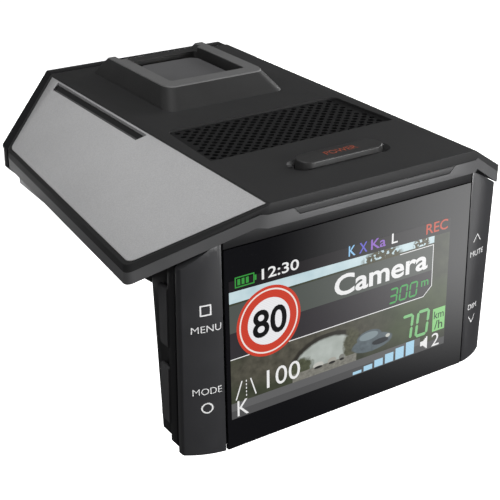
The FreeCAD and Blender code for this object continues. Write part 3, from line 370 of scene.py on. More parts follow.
NICKEL = plated("nickel_plate", (0.62, 0.61, 0.58))
GOLD = plated("gold_plate", (0.83, 0.60, 0.25), 0.22)
BOARD = circuit_board()
CAST = cast_metal()
CERAMIC = moulded("patch_ceramic", (0.62, 0.56, 0.46), 0.42, 0.4, 0.01)
FILM = moulded("battery_film", (0.03, 0.09, 0.30), 0.28, 1.2, 0.02)
AMBER = moulded("ribbon_film", (0.42, 0.20, 0.03), 0.25, 0.8, 0.01)
MOULDED_DARK = moulded("switch_plastic", (0.02, 0.02, 0.02), 0.45)

INNER = {
    "seat_magnets": NICKEL, "contact_pins": GOLD, "camera_sensor": BOARD, "display_screws": NICKEL,
    "lcd_module": MOULDED_DARK, "left_key_switches": MOULDED_DARK, "right_key_switches": MOULDED_DARK,
    "card_socket_upper": NICKEL, "card_socket_lower": NICKEL, "display_board": BOARD, "display_chip": MOULDED_DARK,
    "display_ribbon": AMBER, "power_inlet": NICKEL, "main_board": BOARD, "processor_shield": NICKEL,
    "gps_antenna": CERAMIC, "speaker": VENT_BLACK, "backup_battery": FILM, "horn_antenna": CAST,
    "radar_board": BOARD, "laser_sensor": MOULDED_DARK, "button_board": BOARD, "power_switch": NICKEL,
    "case_screws": NICKEL, "side_vent_left": VENT_LIP_HIGHLIGHT, "side_vent_right": VENT_LIP_HIGHLIGHT,
    "screen_glass": GLASS_BLACK, "speaker_grille": VENT_BLACK,
}
for name, finish in INNER.items():
    finish.paint(NODES[name])
print("inner parts painted:", len(INNER))

# %% [markdown]
# ## Casings with rounded edges
# A mould never leaves a knife edge, and the thin bright lines along a real casing come from its tiny edge radii.
# Each casing is a copy of its CAD node: the loose triangles are welded, flat areas are merged back into whole
# faces, and every edge that turns sharply is bevelled by a few tenths of a millimetre.
# Two roundings that meet on a narrow face would tear it, so an edge stays sharp where another edge of its face runs
# close beside it, and after each try, near any face that no longer lies flat.

# %% Softened copies
SHARP = math.radians(24.0)          # an edge that turns more than this is rounded
FLAT = math.radians(0.6)            # faces that turn less than this are merged
SMOOTH = math.radians(35.0)         # shading runs on over an edge that turns less than this
WELD = 2e-7                         # loose corners closer than this are one, in metres
TRIES = 8
ROUND_STEPS = 2
# In rounding radii: the shortest edge that is rounded, the room beside it, and the room round a torn face.
SHORTEST, BESIDE, ROUND_TORN = 0.5, 2.1, 1.7


def body_name(node_name):
    """The CAD body that holds a node."""
    return [body for body, names in frame["record"]["behaviour"]["bodies"].items() if node_name in names][0]


def slot_name(node_name):
    """The record's material slot of a node."""
    return [s["material_slot"] for s in frame["record"]["subparts"] if s["node"] == node_name][0]


def finish_mesh(name, bm, finish):
    """A finished mesh object at the origin, smooth shaded except over its sharp edges."""
    mesh = bpy.data.meshes.new(name)
    for face in bm.faces:
        face.smooth = True
    for edge in bm.edges:
        edge.smooth = len(edge.link_faces) == 2 and edge.calc_face_angle(0.0) < SMOOTH
    bm.to_mesh(mesh)
    bm.free()
    obj = bpy.data.objects.new(name, mesh)
    bpy.context.collection.objects.link(obj)
    finish.paint(obj)
    return obj


def mesh_of(node_name):
    """A welded working copy of a CAD node's mesh, with flat areas merged."""
    bm = bmesh.new()
    bm.from_mesh(NODES[node_name].data)
    bmesh.ops.remove_doubles(bm, verts=bm.verts, dist=WELD)
    bmesh.ops.dissolve_limit(bm, angle_limit=FLAT, verts=bm.verts, edges=bm.edges)
    return bm


def crowded(edge, room):
    """True where another edge of the same face runs too close for both to be rounded."""
    middle = (edge.verts[0].co + edge.verts[1].co) / 2
    for face in edge.link_faces:
        for other in face.edges:
            if other is edge or set(other.verts) & set(edge.verts):
                continue
            start, end = (vert.co for vert in other.verts)
            for point in (edge.verts[0].co, middle, edge.verts[1].co):
                near, share = intersect_point_line(point, start, end)
                near = start.lerp(end, min(1.0, max(0.0, share)))
                if (near - point).length < room:
                    return True
    return False


def torn_points(bm):
    """Corners of the faces that don't lie flat any more, because two roundings met there.

    A flat face is as large as its triangles together; one that folds over itself is smaller.
    """
    least, share = 0.25 * MM * MM, 0.004
    spread = {}
    for loops in bm.calc_loop_triangles():
        a, b, c = (loop.vert.co for loop in loops)
        spread[loops[0].face] = spread.get(loops[0].face, 0.0) + (b - a).cross(c - a).length / 2
    return [vert.co.copy() for face, area in spread.items()
            if area - face.calc_area() > max(least, share * area) for vert in face.verts]


def softened(node_name, radius_mm, finish):
    """Replaces a CAD node with a copy whose sharp edges are rounded, except where the rounding would tear it."""
    radius = radius_mm * MM
    keep_sharp = []
    for attempt in range(TRIES):
        bm = mesh_of(node_name)
        before = bm.calc_volume()
        edges = [e for e in bm.edges if len(e.link_faces) == 2 and e.calc_face_angle(0.0) > SHARP
                 and e.calc_length() > SHORTEST * radius and not crowded(e, BESIDE * radius)
                 and not any((v.co - point).length < ROUND_TORN * radius for v in e.verts for point in keep_sharp)]
        bmesh.ops.bevel(bm, geom=edges, offset=radius, offset_type="OFFSET", segments=ROUND_STEPS,
                        profile=0.5, affect="EDGES", clamp_overlap=True, material=-1)
        torn = torn_points(bm)
        if not torn:
            break
        keep_sharp += torn
    after = bm.calc_volume()
    obj = finish_mesh(node_name + "_casing", bm, finish)
    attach(obj, body_name(node_name))
    slot_name(node_name)
    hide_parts(node_name)
    print(obj.name, len(obj.data.polygons), "faces, volume", round(100 * after / before, 1), "%, tries", attempt + 1,
          "torn" if torn else "sound")
    return obj


SOFT = (
    ("upper_shell", 0.30, ROOF_BLACK), ("lower_shell", 0.30, GRAPHITE), ("side_panel_left", 0.22, SILVER),
    ("side_panel_right", 0.22, SILVER), ("mount_collar", 0.30, COLLAR_GREY), ("bracket_seat", 0.25, SEAT_GREY),
    ("front_bezel", 0.35, PIANO), ("rear_trim", 0.10, TRIM_GREY), ("display_frame", 0.25, UNIT_BLACK),
    ("display_back", 0.40, UNIT_BLACK), ("left_keys", 0.20, KEY_SATIN), ("right_keys", 0.20, KEY_SATIN),
    ("card_door_upper", 0.18, DOOR_RUBBER), ("card_door_lower", 0.18, DOOR_RUBBER),
    ("power_button", 0.25, BUTTON_BLACK), ("camera_turret", 0.20, PIANO), ("lens_ring", 0.15, NICKEL),
    ("laser_window", 0.20, PIANO),
)
CASINGS = {node_name: softened(node_name, radius, finish) for node_name, radius, finish in SOFT}

# %% [markdown]
# ## Flat artwork
# Printed legends and the lit picture are flat shapes of no real thickness. Each is drawn in a bmesh on a plane of
# its own, in millimetres, from three small tools: a stroke between two points, a ring and a word. One more tool
# then carries the whole sheet on to the glass, a key or the button, a few hundredths of a millimetre above it.


# %% Strokes, rings and words
def stroke(bm, start, end, width, pointed=0.0):
    """A straight bar between two points, square or pointed at its ends."""
    a, b = Vector(start), Vector(end)
    run = b - a
    turn = Matrix.Rotation(math.atan2(run.y, run.x), 4, "Z")
    middle = Matrix.Translation(((a + b) / 2).to_3d())
    shape = Matrix.Diagonal((run.length, width, 1, 1))
    made = bmesh.ops.create_grid(bm, x_segments=1, y_segments=1, size=0.5, matrix=middle @ turn @ shape)
    if pointed:
        bmesh.ops.bevel(bm, geom=made["verts"], offset=pointed * width, offset_type="OFFSET", affect="VERTICES",
                        segments=1, profile=0.5, material=-1)


def rectangle(bm, left, bottom, width, height):
    """A bar given by its lower left corner and its size."""
    stroke(bm, (left, bottom + height / 2), (left + width, bottom + height / 2), height)


def polyline(bm, points, width):
    """Strokes along a run of points, lengthened a little so that their corners close."""
    for start, end in zip(points[:-1], points[1:]):
        a, b = Vector(start), Vector(end)
        reach = (b - a).normalized() * width / 2
        stroke(bm, a - reach, b + reach, width)


ROUND_SIDES = 56


def ring(bm, centre, outer, inner=0.0):
    """A disc, or a ring when an inner radius is given."""
    place = Matrix.Translation((*centre, 0))
    rims = [bmesh.ops.create_circle(bm, cap_ends=not inner, segments=ROUND_SIDES, radius=radius,
                                    matrix=place)["verts"] for radius in ((outer, inner) if inner else (outer,))]
    if inner:
        edges = {edge for rim in rims for vert in rim for edge in vert.link_edges}
        bmesh.ops.bridge_loops(bm, edges=list(edges))


def word(bm, text, left, bottom, width, height, bold=0.0):
    """A word fitted into a rectangle."""
    curve = bpy.data.curves.new("word", "FONT")
    curve.body = text
    curve.offset = bold
    curve.resolution_u = 4
    holder = bpy.data.objects.new("word", curve)
    mesh = bpy.data.meshes.new_from_object(holder)
    xs = [v.co.x for v in mesh.vertices]
    ys = [v.co.y for v in mesh.vertices]
    scale = Matrix.Diagonal((width / (max(xs) - min(xs)), height / (max(ys) - min(ys)), 1, 1))
    mesh.transform(Matrix.Translation((left, bottom, 0)) @ scale @ Matrix.Translation((-min(xs), -min(ys), 0)))
    bm.from_mesh(mesh)
    bpy.data.objects.remove(holder)
    bpy.data.curves.remove(curve)
    bpy.data.meshes.remove(mesh)


print("flat tools ready")

# %% [markdown]
# ## Seven-segment digits
# The distance and the speed are shown as lit bars, as on a clock. A font could give them, but seven strokes named a
# to g, clockwise from the top with g in the middle, follow the real display and need no font.

# %% Digits
LEAN = 0.10
SEGMENTS = {"0": "abcdef", "3": "abcdg", "7": "abc", "8": "abcdefg"}


def digit(bm, shape, left, bottom, width, height, thick):
    """One seven-segment digit, leaning a little to the right."""
    half = height / 2
    gap = thick * 0.12
    ends = {
        "a": ((0, height), (width, height)), "b": ((width, height), (width, half)), "c": ((width, half), (width, 0)),
        "d": ((0, 0), (width, 0)), "e": ((0, 0), (0, half)), "f": ((0, half), (0, height)),
        "g": ((0, half), (width, half)),
    }
    inset = thick / 2
    for key in SEGMENTS[shape]:
        a, b = [Vector(((x / width) * (width - thick) + inset, (y / height) * (height - thick) + inset))
                for x, y in ends[key]]
        run = (b - a).normalized() * gap
        a, b = [Vector((left + p.x + p.y * LEAN, bottom + p.y)) for p in (a + run, b - run)]
        stroke(bm, a, b, thick, pointed=0.42)


print("digits:", " ".join(SEGMENTS))

# %% [markdown]
# ## On to the glass
# The glass's front face gives a corner and three directions. The lit area lies a little right of that corner and
# halfway up the glass, and every sheet of the picture is drawn in millimetres from the lit area's lower left corner.


# %% Glass and picture area
def glass_frame():
    """The glass's front face: its lower left corner, its right, up and outward directions, and its size."""
    mesh = NODES["screen_glass"].data
    faces = [p for p in mesh.polygons if p.normal.y < -0.9]
    corners = [mesh.vertices[i].co for p in faces for i in p.vertices]
    outward = faces[0].normal.normalized()
    right = Vector((1, 0, 0))
    up = outward.cross(right)
    low = min(corners, key=lambda c: (round(c.z, 5), c.x))
    high = max(corners, key=lambda c: (round(c.z, 5), c.x))
    return low, right, up, outward, (high - low).dot(right) / MM, (high - low).dot(up) / MM


GLASS_CORNER, GLASS_RIGHT, GLASS_UP, GLASS_OUT, GLASS_WIDE, GLASS_HIGH = glass_frame()
PICTURE_LEFT = 1.1
PICTURE_WIDE, PICTURE_HIGH = 66.4, 35.8
PICTURE_LOW = (GLASS_HIGH - PICTURE_HIGH) / 2
# Heights of the sheets above the glass, in millimetres, from the picture up to the number on the sign.
PICTURE_LIFT, BOX_LIFT, MARK_LIFT, FACE_LIFT, RIM_LIFT, NUMBER_LIFT = 0.02, 0.04, 0.045, 0.05, 0.06, 0.07


def onto_glass(bm, lift):
    """Carries a sheet drawn in picture millimetres on to the glass."""
    turn = Matrix((GLASS_RIGHT, GLASS_UP, GLASS_OUT)).transposed().to_4x4()
    corner = GLASS_CORNER + (GLASS_RIGHT * PICTURE_LEFT + GLASS_UP * PICTURE_LOW + GLASS_OUT * lift) * MM
    bm.transform(Matrix.Translation(corner) @ turn @ Matrix.Scale(MM, 4))


def face_out(bm, outward):
    """Turns every face of a flat sheet to the side that is seen."""
    wrong = [face for face in bm.faces if face.normal.dot(outward) < 0]
    bmesh.ops.reverse_faces(bm, faces=wrong)


def artwork(name, draw, finish, lift):
    """A flat piece on the glass, drawn by a function in picture millimetres."""
    bm = bmesh.new()
    draw(bm)
    onto_glass(bm, lift)
    bm.normal_update()
    face_out(bm, GLASS_OUT)
    obj = finish_mesh(name, bm, finish)
    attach(obj, body_name("screen_glass"))
    slot_name("lcd_module")
    return obj


print("glass", round(GLASS_WIDE, 1), "by", round(GLASS_HIGH, 1), "mm")

# %% [markdown]
# ## The lit picture
# The display shows a road behind a status bar, a warning panel and two grey strips. The road is one sheet whose
# shader paints every area from the sheet's own UV map; it glows by itself, and its black base still mirrors the
# room as glass does. A mask is a product of comparisons: `inside(left, right, low, high)` is 1 within that
# rectangle and 0 elsewhere, and a mix paints a colour where its mask is 1.


# %% Road picture
def under_glass(name):
    """A dark glowing sheet with the shine of the glass over it."""
    return Finish(name, grey(0.004), Roughness=0.07, Emission_Strength=1.0)


def lit(name, color):
    """A glowing area under glass, with the faint rows of a liquid-crystal panel."""
    finish = under_glass(name)
    rows = finish.add("ShaderNodeTexWave", {"wave_type": "BANDS", "bands_direction": "Z"},
                      {"Vector": finish.place(), "Scale": 1.0 / (1.4 * MM), "Distortion": 0.0}, "Fac")
    dim = tuple(0.86 * c for c in color)
    finish.feed("Emission Color", finish.mix(rows, dim, color))
    return finish


def road_picture():
    """Every area of the picture, painted one over the other from the back to the front."""
    finish = under_glass("road_picture")
    uv = finish.add("ShaderNodeTexCoord", output="UV")
    split = finish.add("ShaderNodeSeparateXYZ", {}, {0: uv})
    u = split * PICTURE_WIDE
    v = Wire(finish, split.socket.node.outputs["Y"]) * PICTURE_HIGH
    sheet = finish.add("ShaderNodeCombineXYZ", {}, {0: u, 1: v})

    def noise(size, detail=4.0):
        return finish.add("ShaderNodeTexNoise", {}, {"Vector": sheet, "Scale": 1.0 / size, "Detail": detail})

    def tones(size, dark, bright):
        """Cloudy colour between two tones."""
        return finish.mix(noise(size), dark, bright)

    def inside(left, right, low, high):
        return (u > left) * (u < right) * (v > low) * (v < high)

    def blob(x, y, wide, high, edge=0.25, ragged=0.6):
        """A soft-edged ellipse, ragged by noise."""
        across = (u - x) * (1.0 / wide)
        along = (v - y) * (1.0 / high)
        reach = across * across + along * along + (noise(1.6) - 0.5) * ragged
        return finish.add("ShaderNodeMapRange", {"clamp": True}, {
            "Value": reach, "From Min": 1.0 - edge, "From Max": 1.0 + edge, "To Min": 1.0, "To Max": 0.0})

    # The ground, a bank of grass at the right and bare earth at the left.
    picture = tones(5.0, (0.010, 0.012, 0.008), (0.085, 0.095, 0.060))
    grass = tones(5.0, (0.025, 0.036, 0.015), (0.080, 0.105, 0.048))
    picture = finish.mix(blob(60.0, 12.0, 13.0, 7.5, 0.7), picture, grass)
    earth = tones(2.0, (0.02, 0.02, 0.015), (0.14, 0.13, 0.10))
    picture = finish.mix(blob(20.0, 12.0, 24.0, 5.0, 0.6), picture, earth)

    # A bridge arch: a dark rim, daylight inside it, and a bush on each side.
    arch = (v > 6.2) * (v < 14.6)
    picture = finish.mix(blob(28.0, 6.4, 12.0, 8.3, 0.06, 0.1) * arch, picture, (0.028, 0.025, 0.020))
    daylight = tones(4.0, (0.28, 0.31, 0.28), (0.52, 0.56, 0.53))
    picture = finish.mix(blob(28.0, 6.2, 10.7, 7.2, 0.08, 0.15) * arch, picture, daylight)
    left_bush = tones(0.9, (0.02, 0.024, 0.012), (0.12, 0.13, 0.08))
    picture = finish.mix(blob(19.8, 7.6, 3.9, 2.5, 0.3, 1.6), picture, left_bush)
    right_bush = tones(0.9, (0.02, 0.022, 0.014), (0.14, 0.14, 0.09))
    picture = finish.mix(blob(35.4, 9.2, 2.6, 4.6, 0.3, 1.6), picture, right_bush)

    # The road under the arch, with three far cars and the shade under each.
    road = inside(17.5, 37.0, 3.4, 6.4)
    picture = finish.mix(road, picture, tones(0.9, (0.07, 0.07, 0.06), (0.32, 0.31, 0.27)))
    far_cars = ((25.2, 1.6, (0.50, 0.50, 0.46)), (29.4, 1.3, (0.36, 0.35, 0.31)), (32.4, 0.9, (0.20, 0.20, 0.18)))
    for x, wide, paint in far_cars:
        picture = finish.mix(blob(x, 6.7, wide, 0.8, 0.2, 0.3), picture, paint)
        picture = finish.mix(blob(x, 6.1, 0.8 * wide, 0.35, 0.2, 0.2), picture, (0.02, 0.02, 0.018))

    # A near car: body, roof, windows, grille and lamp.
    metal = tones(1.6, (0.045, 0.055, 0.065), (0.15, 0.19, 0.21))
    picture = finish.mix(blob(42.0, 7.7, 6.4, 2.3, 0.1, 0.3), picture, metal)
    picture = finish.mix(blob(41.0, 9.6, 3.9, 1.9, 0.1, 0.25), picture, metal)
    picture = finish.mix(blob(40.8, 9.9, 3.0, 1.1, 0.1, 0.3), picture, (0.21, 0.26, 0.28))
    picture = finish.mix(blob(44.6, 7.4, 2.6, 0.8, 0.15, 0.5), picture, (0.018, 0.022, 0.027))
    picture = finish.mix(blob(47.0, 8.3, 0.7, 0.5, 0.2, 0.2), picture, (0.55, 0.56, 0.52))

    # Sky and trees, cut off above by the slanting foot of the status bar.
    bar_foot = 33.1 - 0.017 * u
    scenery = (v < bar_foot) * (u < 61.2)
    picture = finish.mix((v > 30.2) * scenery, picture, tones(5.0, (0.36, 0.52, 0.58), (0.72, 0.84, 0.86)))
    trees = blob(44.5, 30.5, 6.0, 2.4, 0.3) + blob(57.0, 31.0, 2.6, 2.0, 0.3)
    leaves = tones(0.7, (0.01, 0.01, 0.006), (0.13, 0.12, 0.06))
    picture = finish.mix(trees * (v > 28.0) * scenery * (noise(1.1) > 0.44), picture, leaves)
    picture = finish.mix(v > bar_foot, picture, (0.014, 0.012, 0.014))

    # The warning panel, with its cut corner, and the two grey strips along the foot.
    panel = (v > 15.9) * (v < 29.7) * (u - v < 42.5) * (u < 61.0)
    shade = finish.mix(v > 22.7, (0.032, 0.028, 0.034), (0.082, 0.092, 0.084))
    picture = finish.mix(panel * 0.93, picture, shade)
    picture = finish.mix((v < 4.2) * (u < 58.0), picture, (0.118, 0.118, 0.12))
    picture = finish.mix(v < 2.1, picture, (0.082, 0.082, 0.084))
    finish.feed("Emission Color", picture)
    return finish


def picture_area(bm):
    """The whole lit area, with a UV map from its lower left to its upper right corner."""
    layer = bm.loops.layers.uv.new("picture")
    stroke(bm, (0, PICTURE_HIGH / 2), (PICTURE_WIDE, PICTURE_HIGH / 2), PICTURE_HIGH)
    for face in bm.faces:
        for loop in face.loops:
            loop[layer].uv = (loop.vert.co.x / PICTURE_WIDE, loop.vert.co.y / PICTURE_HIGH)


artwork("screen_picture", picture_area, road_picture(), PICTURE_LIFT)
print("picture", PICTURE_WIDE, "by", PICTURE_HIGH, "mm")

# %% [markdown]
# ## Signs, words and numbers on the screen
# Everything that the device writes over the road is artwork of its own, so its edges stay sharp at any size. Shapes
# of one colour share a piece. The words are plain ones that any such display might show.


# %% Screen artwork
def white_marks(bm):
    """White words, the lane sign, the speaker sign and the outline of the warning panel."""
    word(bm, "12:30", 8.9, 34.0, 10.4, 2.7, bold=0.012)
    word(bm, "L", 47.2, 33.3, 1.9, 2.7, bold=0.012)
    word(bm, "Camera", 29.8, 23.5, 29.5, 5.6, bold=0.022)
    word(bm, "100", 10.0, 5.2, 9.7, 4.9)
    word(bm, "K", 1.6, 0.4, 3.2, 4.1)
    word(bm, "2", 62.0, 0.3, 2.6, 3.7)
    stroke(bm, (1.3, 4.9), (3.0, 9.6), 0.34)
    stroke(bm, (6.9, 4.9), (5.4, 9.6), 0.34)
    for i in range(5):
        stroke(bm, (4.2, 5.2 + i * 0.95), (4.2, 5.7 + i * 0.95), 0.26)
    stroke(bm, (58.1, 2.2), (59.3, 2.2), 1.3)
    for i in range(4):
        stroke(bm, (59.0 + 0.42 * i, 2.2 - 0.6 - 0.38 * i), (59.0 + 0.42 * i, 2.2 + 0.6 + 0.38 * i), 0.44)
    stroke(bm, (0.0, 15.9), (5.2, 15.9), 0.22)
    stroke(bm, (16.4, 15.9), (58.3, 15.9), 0.22)
    polyline(bm, [(58.3, 15.9), (61.0, 18.3), (61.0, 29.7)], 0.22)
    stroke(bm, (50.0, 29.7), (61.0, 29.7), 0.22)


def green_battery(bm):
    """A battery outline with three cells."""
    rectangle(bm, 1.6, 33.8, 5.3, 0.3)
    rectangle(bm, 1.6, 36.2, 5.3, 0.3)
    rectangle(bm, 1.6, 33.8, 0.3, 2.7)
    rectangle(bm, 6.6, 33.8, 0.3, 2.7)
    rectangle(bm, 6.95, 34.5, 0.5, 1.3)
    for i in range(3):
        rectangle(bm, 2.3 + 1.15 * i, 34.4, 0.75, 1.5)


def green_digits(bm):
    """The distance to the camera."""
    for i, shape in enumerate("300"):
        digit(bm, shape, 46.8 + 3.25 * i, 16.8, 2.75, 4.3, 0.52)
    word(bm, "m", 57.4, 18.9, 2.5, 1.6, bold=0.015)


def pale_digits(bm):
    """The speed."""
    digit(bm, "7", 50.7, 4.6, 4.2, 7.6, 0.85)
    digit(bm, "0", 55.9, 4.6, 4.4, 7.6, 0.85)


def unit_box(bm):
    """The green box behind the unit of speed."""
    rectangle(bm, 62.0, 4.6, 4.2, 6.6)


def unit_words(bm):
    """The unit of speed."""
    word(bm, "km", 62.4, 8.2, 3.4, 2.2, bold=0.01)
    word(bm, "/h", 62.7, 5.1, 2.8, 2.5, bold=0.01)


def signal_bars(bm):
    """Six bars of the signal strength."""
    for i in range(6):
        rectangle(bm, 36.0 + 3.45 * i, 0.25, 2.75, 0.8 + 0.62 * i)


SIGN = (10.8, 23.0)
SCREEN_ART = (
    ("screen_sign_red", lambda bm: ring(bm, SIGN, 9.0, 5.9), (0.62, 0.055, 0.03), BOX_LIFT),
    ("screen_sign_rim", lambda bm: ring(bm, SIGN, 8.25, 7.85), (0.9, 0.82, 0.78), RIM_LIFT),
    ("screen_sign_face", lambda bm: ring(bm, SIGN, 5.95), (0.86, 0.86, 0.88), FACE_LIFT),
    ("screen_sign_number", lambda bm: word(bm, "80", 6.2, 19.3, 9.6, 7.2, bold=0.02), (0.006, 0.006, 0.007),
     NUMBER_LIFT),
    ("screen_white_marks", white_marks, (0.88, 0.88, 0.88), MARK_LIFT),
    ("screen_battery", green_battery, (0.045, 0.33, 0.055), MARK_LIFT),
    ("screen_band_blue", lambda bm: word(bm, "K", 33.9, 33.3, 2.1, 2.7, bold=0.012), (0.30, 0.60, 0.90), MARK_LIFT),
    ("screen_band_indigo", lambda bm: word(bm, "X", 37.1, 33.3, 2.5, 2.7, bold=0.012), (0.14, 0.13, 0.62), MARK_LIFT),
    ("screen_band_violet", lambda bm: word(bm, "Ka", 40.7, 33.3, 4.6, 2.7, bold=0.012), (0.30, 0.14, 0.58), MARK_LIFT),
    ("screen_rec", lambda bm: word(bm, "REC", 58.3, 33.0, 7.2, 2.8, bold=0.01), (0.56, 0.075, 0.035), MARK_LIFT),
    ("screen_distance", green_digits, (0.055, 0.36, 0.085), MARK_LIFT),
    ("screen_speed", pale_digits, (0.22, 0.54, 0.22), MARK_LIFT),
    ("screen_unit_box", unit_box, (0.26, 0.62, 0.22), BOX_LIFT),
    ("screen_unit_words", unit_words, (0.02, 0.06, 0.02), FACE_LIFT),
    ("screen_signal_bars", signal_bars, (0.42, 0.68, 0.86), MARK_LIFT),
)
for art_name, draw, color, lift in SCREEN_ART:
    artwork(art_name, draw, lit(art_name + "_light", color), lift)
print("screen pieces:", len(SCREEN_ART) + 1)

# %% [markdown]
# ## Printed legends
# The keys carry white pad-printed legends. A print follows the surface under it, so each point of the flat legend
# is dropped straight on to the rounded key and stands three hundredths of a millimetre above it. Long edges are cut
# into shorter ones first, so that they can bend with the key.


# %% Legends on the keys and the button
def print_ink(name, color):
    """Matt ink: slightly thin in places."""
    finish = Finish(name, color, Roughness=0.5)
    thin = finish.grain(0.35, 2.0)
    finish.feed("Base Color", finish.mix(thin, tuple(0.72 * c for c in color), color))
    return finish


WHITE_INK = print_ink("white_legend_ink", (0.78, 0.78, 0.78))
ORANGE_INK = print_ink("orange_legend_ink", (0.42, 0.075, 0.03))
INK_LIFT = 0.03
DROP_FROM = 50.0
PRINT_STEP = 0.9


def drop_onto(bm, target, direction):
    """Moves every point along a direction until it meets the target, and stops just above it."""
    tree = BVHTree.FromObject(target, bpy.context.evaluated_depsgraph_get())
    start = -direction * DROP_FROM * MM
    for vert in bm.verts:
        place, normal, _, _ = tree.ray_cast(vert.co + start, direction)
        if place:
            vert.co = place + normal * INK_LIFT * MM


def legend(name, draw, centre, target_node, finish, facing="front"):
    """A printed legend, drawn about its own middle in millimetres, on a key or on the button."""
    bm = bmesh.new()
    draw(bm)
    long_edges = [edge for edge in bm.edges if edge.calc_length() > PRINT_STEP]
    bmesh.ops.subdivide_edges(bm, edges=long_edges, cuts=5, use_grid_fill=True)
    turn = Matrix.Rotation(math.radians(90), 4, "X") if facing == "front" else Matrix.Identity(4)
    direction = Vector((0, 1, 0)) if facing == "front" else Vector((0, 0, -1))
    bm.transform(Matrix.Translation(centre) @ turn @ Matrix.Scale(MM, 4))
    bm.normal_update()
    face_out(bm, -direction)
    drop_onto(bm, CASINGS[target_node], direction)
    obj = finish_mesh(name, bm, finish)
    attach(obj, body_name(target_node))
    slot_name(target_node)
    return obj


def centred(text, width, height, bold=0.0):
    """A word drawn about its own middle."""
    return lambda bm: word(bm, text, -width / 2, -height / 2, width, height, bold)


def square_mark(bm):
    """The outline of a square."""
    half = 1.2
    polyline(bm, [(-half, -half), (half, -half), (half, half), (-half, half), (-half, -half)], 0.36)


def chevron(up):
    """An arrow head that points up, or down when up is -1."""
    return lambda bm: polyline(bm, [(-1.3, -0.95 * up), (0.0, 0.95 * up), (1.3, -0.95 * up)], 0.24)


def key_place(node_name, across, below):
    """A point in front of a key strip: across from its middle, below the strip's top, in millimetres."""
    low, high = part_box(node_name)
    return Vector(((low.x + high.x) / 2 + across * MM, low.y, high.z - below * MM))


LEGENDS = (
    ("legend_square", square_mark, "left_keys", 0.6, 16.5),
    ("legend_menu", centred("MENU", 7.1, 1.7, -0.006), "left_keys", 0.8, 21.2),
    ("legend_mode", centred("MODE", 6.8, 1.7, -0.006), "left_keys", 0.7, 37.4),
    ("legend_circle", lambda bm: ring(bm, (0, 0), 1.42, 1.04), "left_keys", 0.5, 41.9),
    ("legend_up", chevron(1), "right_keys", -1.6, 19.0),
    ("legend_mute", centred("MUTE", 5.4, 1.5), "right_keys", -1.2, 23.4),
    ("legend_dim", centred("DIM", 3.7, 1.5), "right_keys", -1.5, 38.9),
    ("legend_down", chevron(-1), "right_keys", -1.5, 42.8),
)
for legend_name, draw, target_node, across, below in LEGENDS:
    legend(legend_name, draw, key_place(target_node, across, below), target_node, WHITE_INK)


def button_legend():
    """The one legend that lies on top, on the button."""
    low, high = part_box("power_button")
    middle = (low + high) / 2
    draw = centred("POWER", 9.2, 2.1)
    legend("legend_power", draw, Vector((middle.x + 0.3 * MM, middle.y, high.z)), "power_button", ORANGE_INK, "top")


button_legend()
print("legends:", len(LEGENDS) + 1)

# %% [markdown]
# ## Floor and light
# The floor is a plain pale sheet well below the device, which hangs in the air as it does in a car, and a pale dome
# goes on from it all round. Black plastic and glass mirror whatever stands round them, so gloss sees neither, and
# the world is nearly dark. Six soft boxes light the device instead: a wide one overhead and behind, a wide one at the
# left, one on the driver's side for the screen side, a small near one where the left panel mirrors it, a wide one low
# behind and one at the right. The glass mirrors a card that glows from nothing to full, which gives its soft sheen.


# %% Floor, dome and lights
FLOOR_DROP = 120
FLOOR_HALF = 3.0
DOME_RADIUS = 2.9


def floor():
    """A pale sheet that glows, so it stays white, and that neither gloss nor soft light sees."""
    bm = bmesh.new()
    bmesh.ops.create_grid(bm, x_segments=1, y_segments=1, size=FLOOR_HALF)
    bmesh.ops.translate(bm, verts=bm.verts, vec=(0, 0, CAD_BOX[0][2] - FLOOR_DROP * MM))
    pale = Finish("pale_floor", (0.93, 0.93, 0.93), Roughness=0.9, Emission_Color=(1, 1, 1, 1), Emission_Strength=0.9)
    sheet = finish_mesh("floor", bm, pale)
    sheet.visible_glossy = False
    sheet.visible_diffuse = False


def soft_box(name, place_mm, aim_mm, size_mm, watts):
    """A rectangular area light at a place, aimed at a point."""
    data = bpy.data.lights.new(name, "AREA")
    data.shape = "RECTANGLE"
    data.size = size_mm[0] * MM
    data.size_y = size_mm[1] * MM
    data.energy = watts
    light = bpy.data.objects.new(name, data)
    place = Vector(place_mm) * MM
    turn = (Vector(aim_mm) * MM - place).to_track_quat("-Z", "Y").to_matrix().to_4x4()
    light.matrix_world = Matrix.Translation(place) @ turn
    bpy.context.collection.objects.link(light)


def world_light(strength):
    """A faint even light from all round."""
    world = bpy.data.worlds.new("studio_world")
    world.use_nodes = True
    background = world.node_tree.nodes["Background"]
    background.inputs["Color"].default_value = (1, 1, 1, 1)
    background.inputs["Strength"].default_value = strength
    bpy.context.scene.world = world


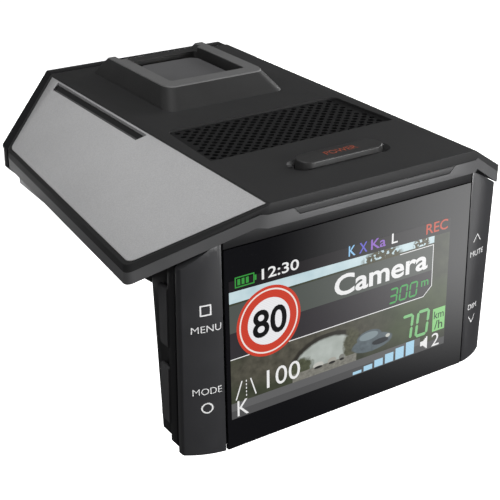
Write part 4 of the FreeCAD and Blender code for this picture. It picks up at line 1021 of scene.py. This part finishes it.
def glow_card(name, corners_mm, sides, heights, strength):
    """A card that only reflections see: it glows from nothing at its left and foot to full at its right and top."""
    bm = bmesh.new()
    bm.faces.new([bm.verts.new(Vector(corner) * MM) for corner in corners_mm])
    bm.normal_update()
    glow = Finish(name + "_glow", (0, 0, 0), Roughness=1.0, Specular_IOR_Level=0.0, Emission_Strength=strength)

    def fade(letter, dark, bright):
        return glow.add("ShaderNodeMapRange", {"interpolation_type": "SMOOTHSTEP"}, {
            "Value": glow.axis(letter), "From Min": dark, "From Max": bright, "To Min": 0.0, "To Max": 1.0})

    glow.feed("Emission Color", glow.mix(fade("X", *sides) * fade("Z", *heights), (0.0, 0.0, 0.0), (1.0, 1.0, 1.0)))
    card = finish_mesh(name, bm, glow)
    card.visible_camera = False
    card.visible_diffuse = False
    card.visible_shadow = False


def backdrop():
    """A pale ball round it all, seen only by the camera, so that low views have a plain background too."""
    bm = bmesh.new()
    bmesh.ops.create_uvsphere(bm, u_segments=48, v_segments=24, radius=DOME_RADIUS)
    bmesh.ops.reverse_faces(bm, faces=bm.faces)
    glow = Finish("pale_backdrop", (0, 0, 0), Roughness=1.0, Specular_IOR_Level=0.0, Emission_Color=(1, 1, 1, 1),
                  Emission_Strength=1.0)
    dome = finish_mesh("backdrop", bm, glow)
    for kind in ("glossy", "diffuse", "shadow", "transmission"):
        setattr(dome, "visible_" + kind, False)


floor()
backdrop()
world_light(0.08)
soft_box("overhead_box", (60, 240, 640), (0, 0, 0), (460, 460), 1.4)
soft_box("left_box", (-620, -260, 380), (-40, -40, -10), (620, 620), 2.8)
soft_box("driver_box", (240, -590, 50), (0, -60, -30), (300, 240), 4.4)
soft_box("panel_box", (-75, 210, 175), (-40, -50, -8), (90, 90), 0.03)
soft_box("back_box", (160, 600, -210), (0, 40, -30), (620, 260), 2.2)
soft_box("right_box", (640, 60, 180), (0, 0, 0), (260, 180), 2.6)
glow_card("right_card", ((130, -420, -60), (430, -345, -60), (430, -345, -330), (130, -420, -330)),
          (190.0, 330.0), (-300.0, -190.0), 3.6)
print("studio ready")
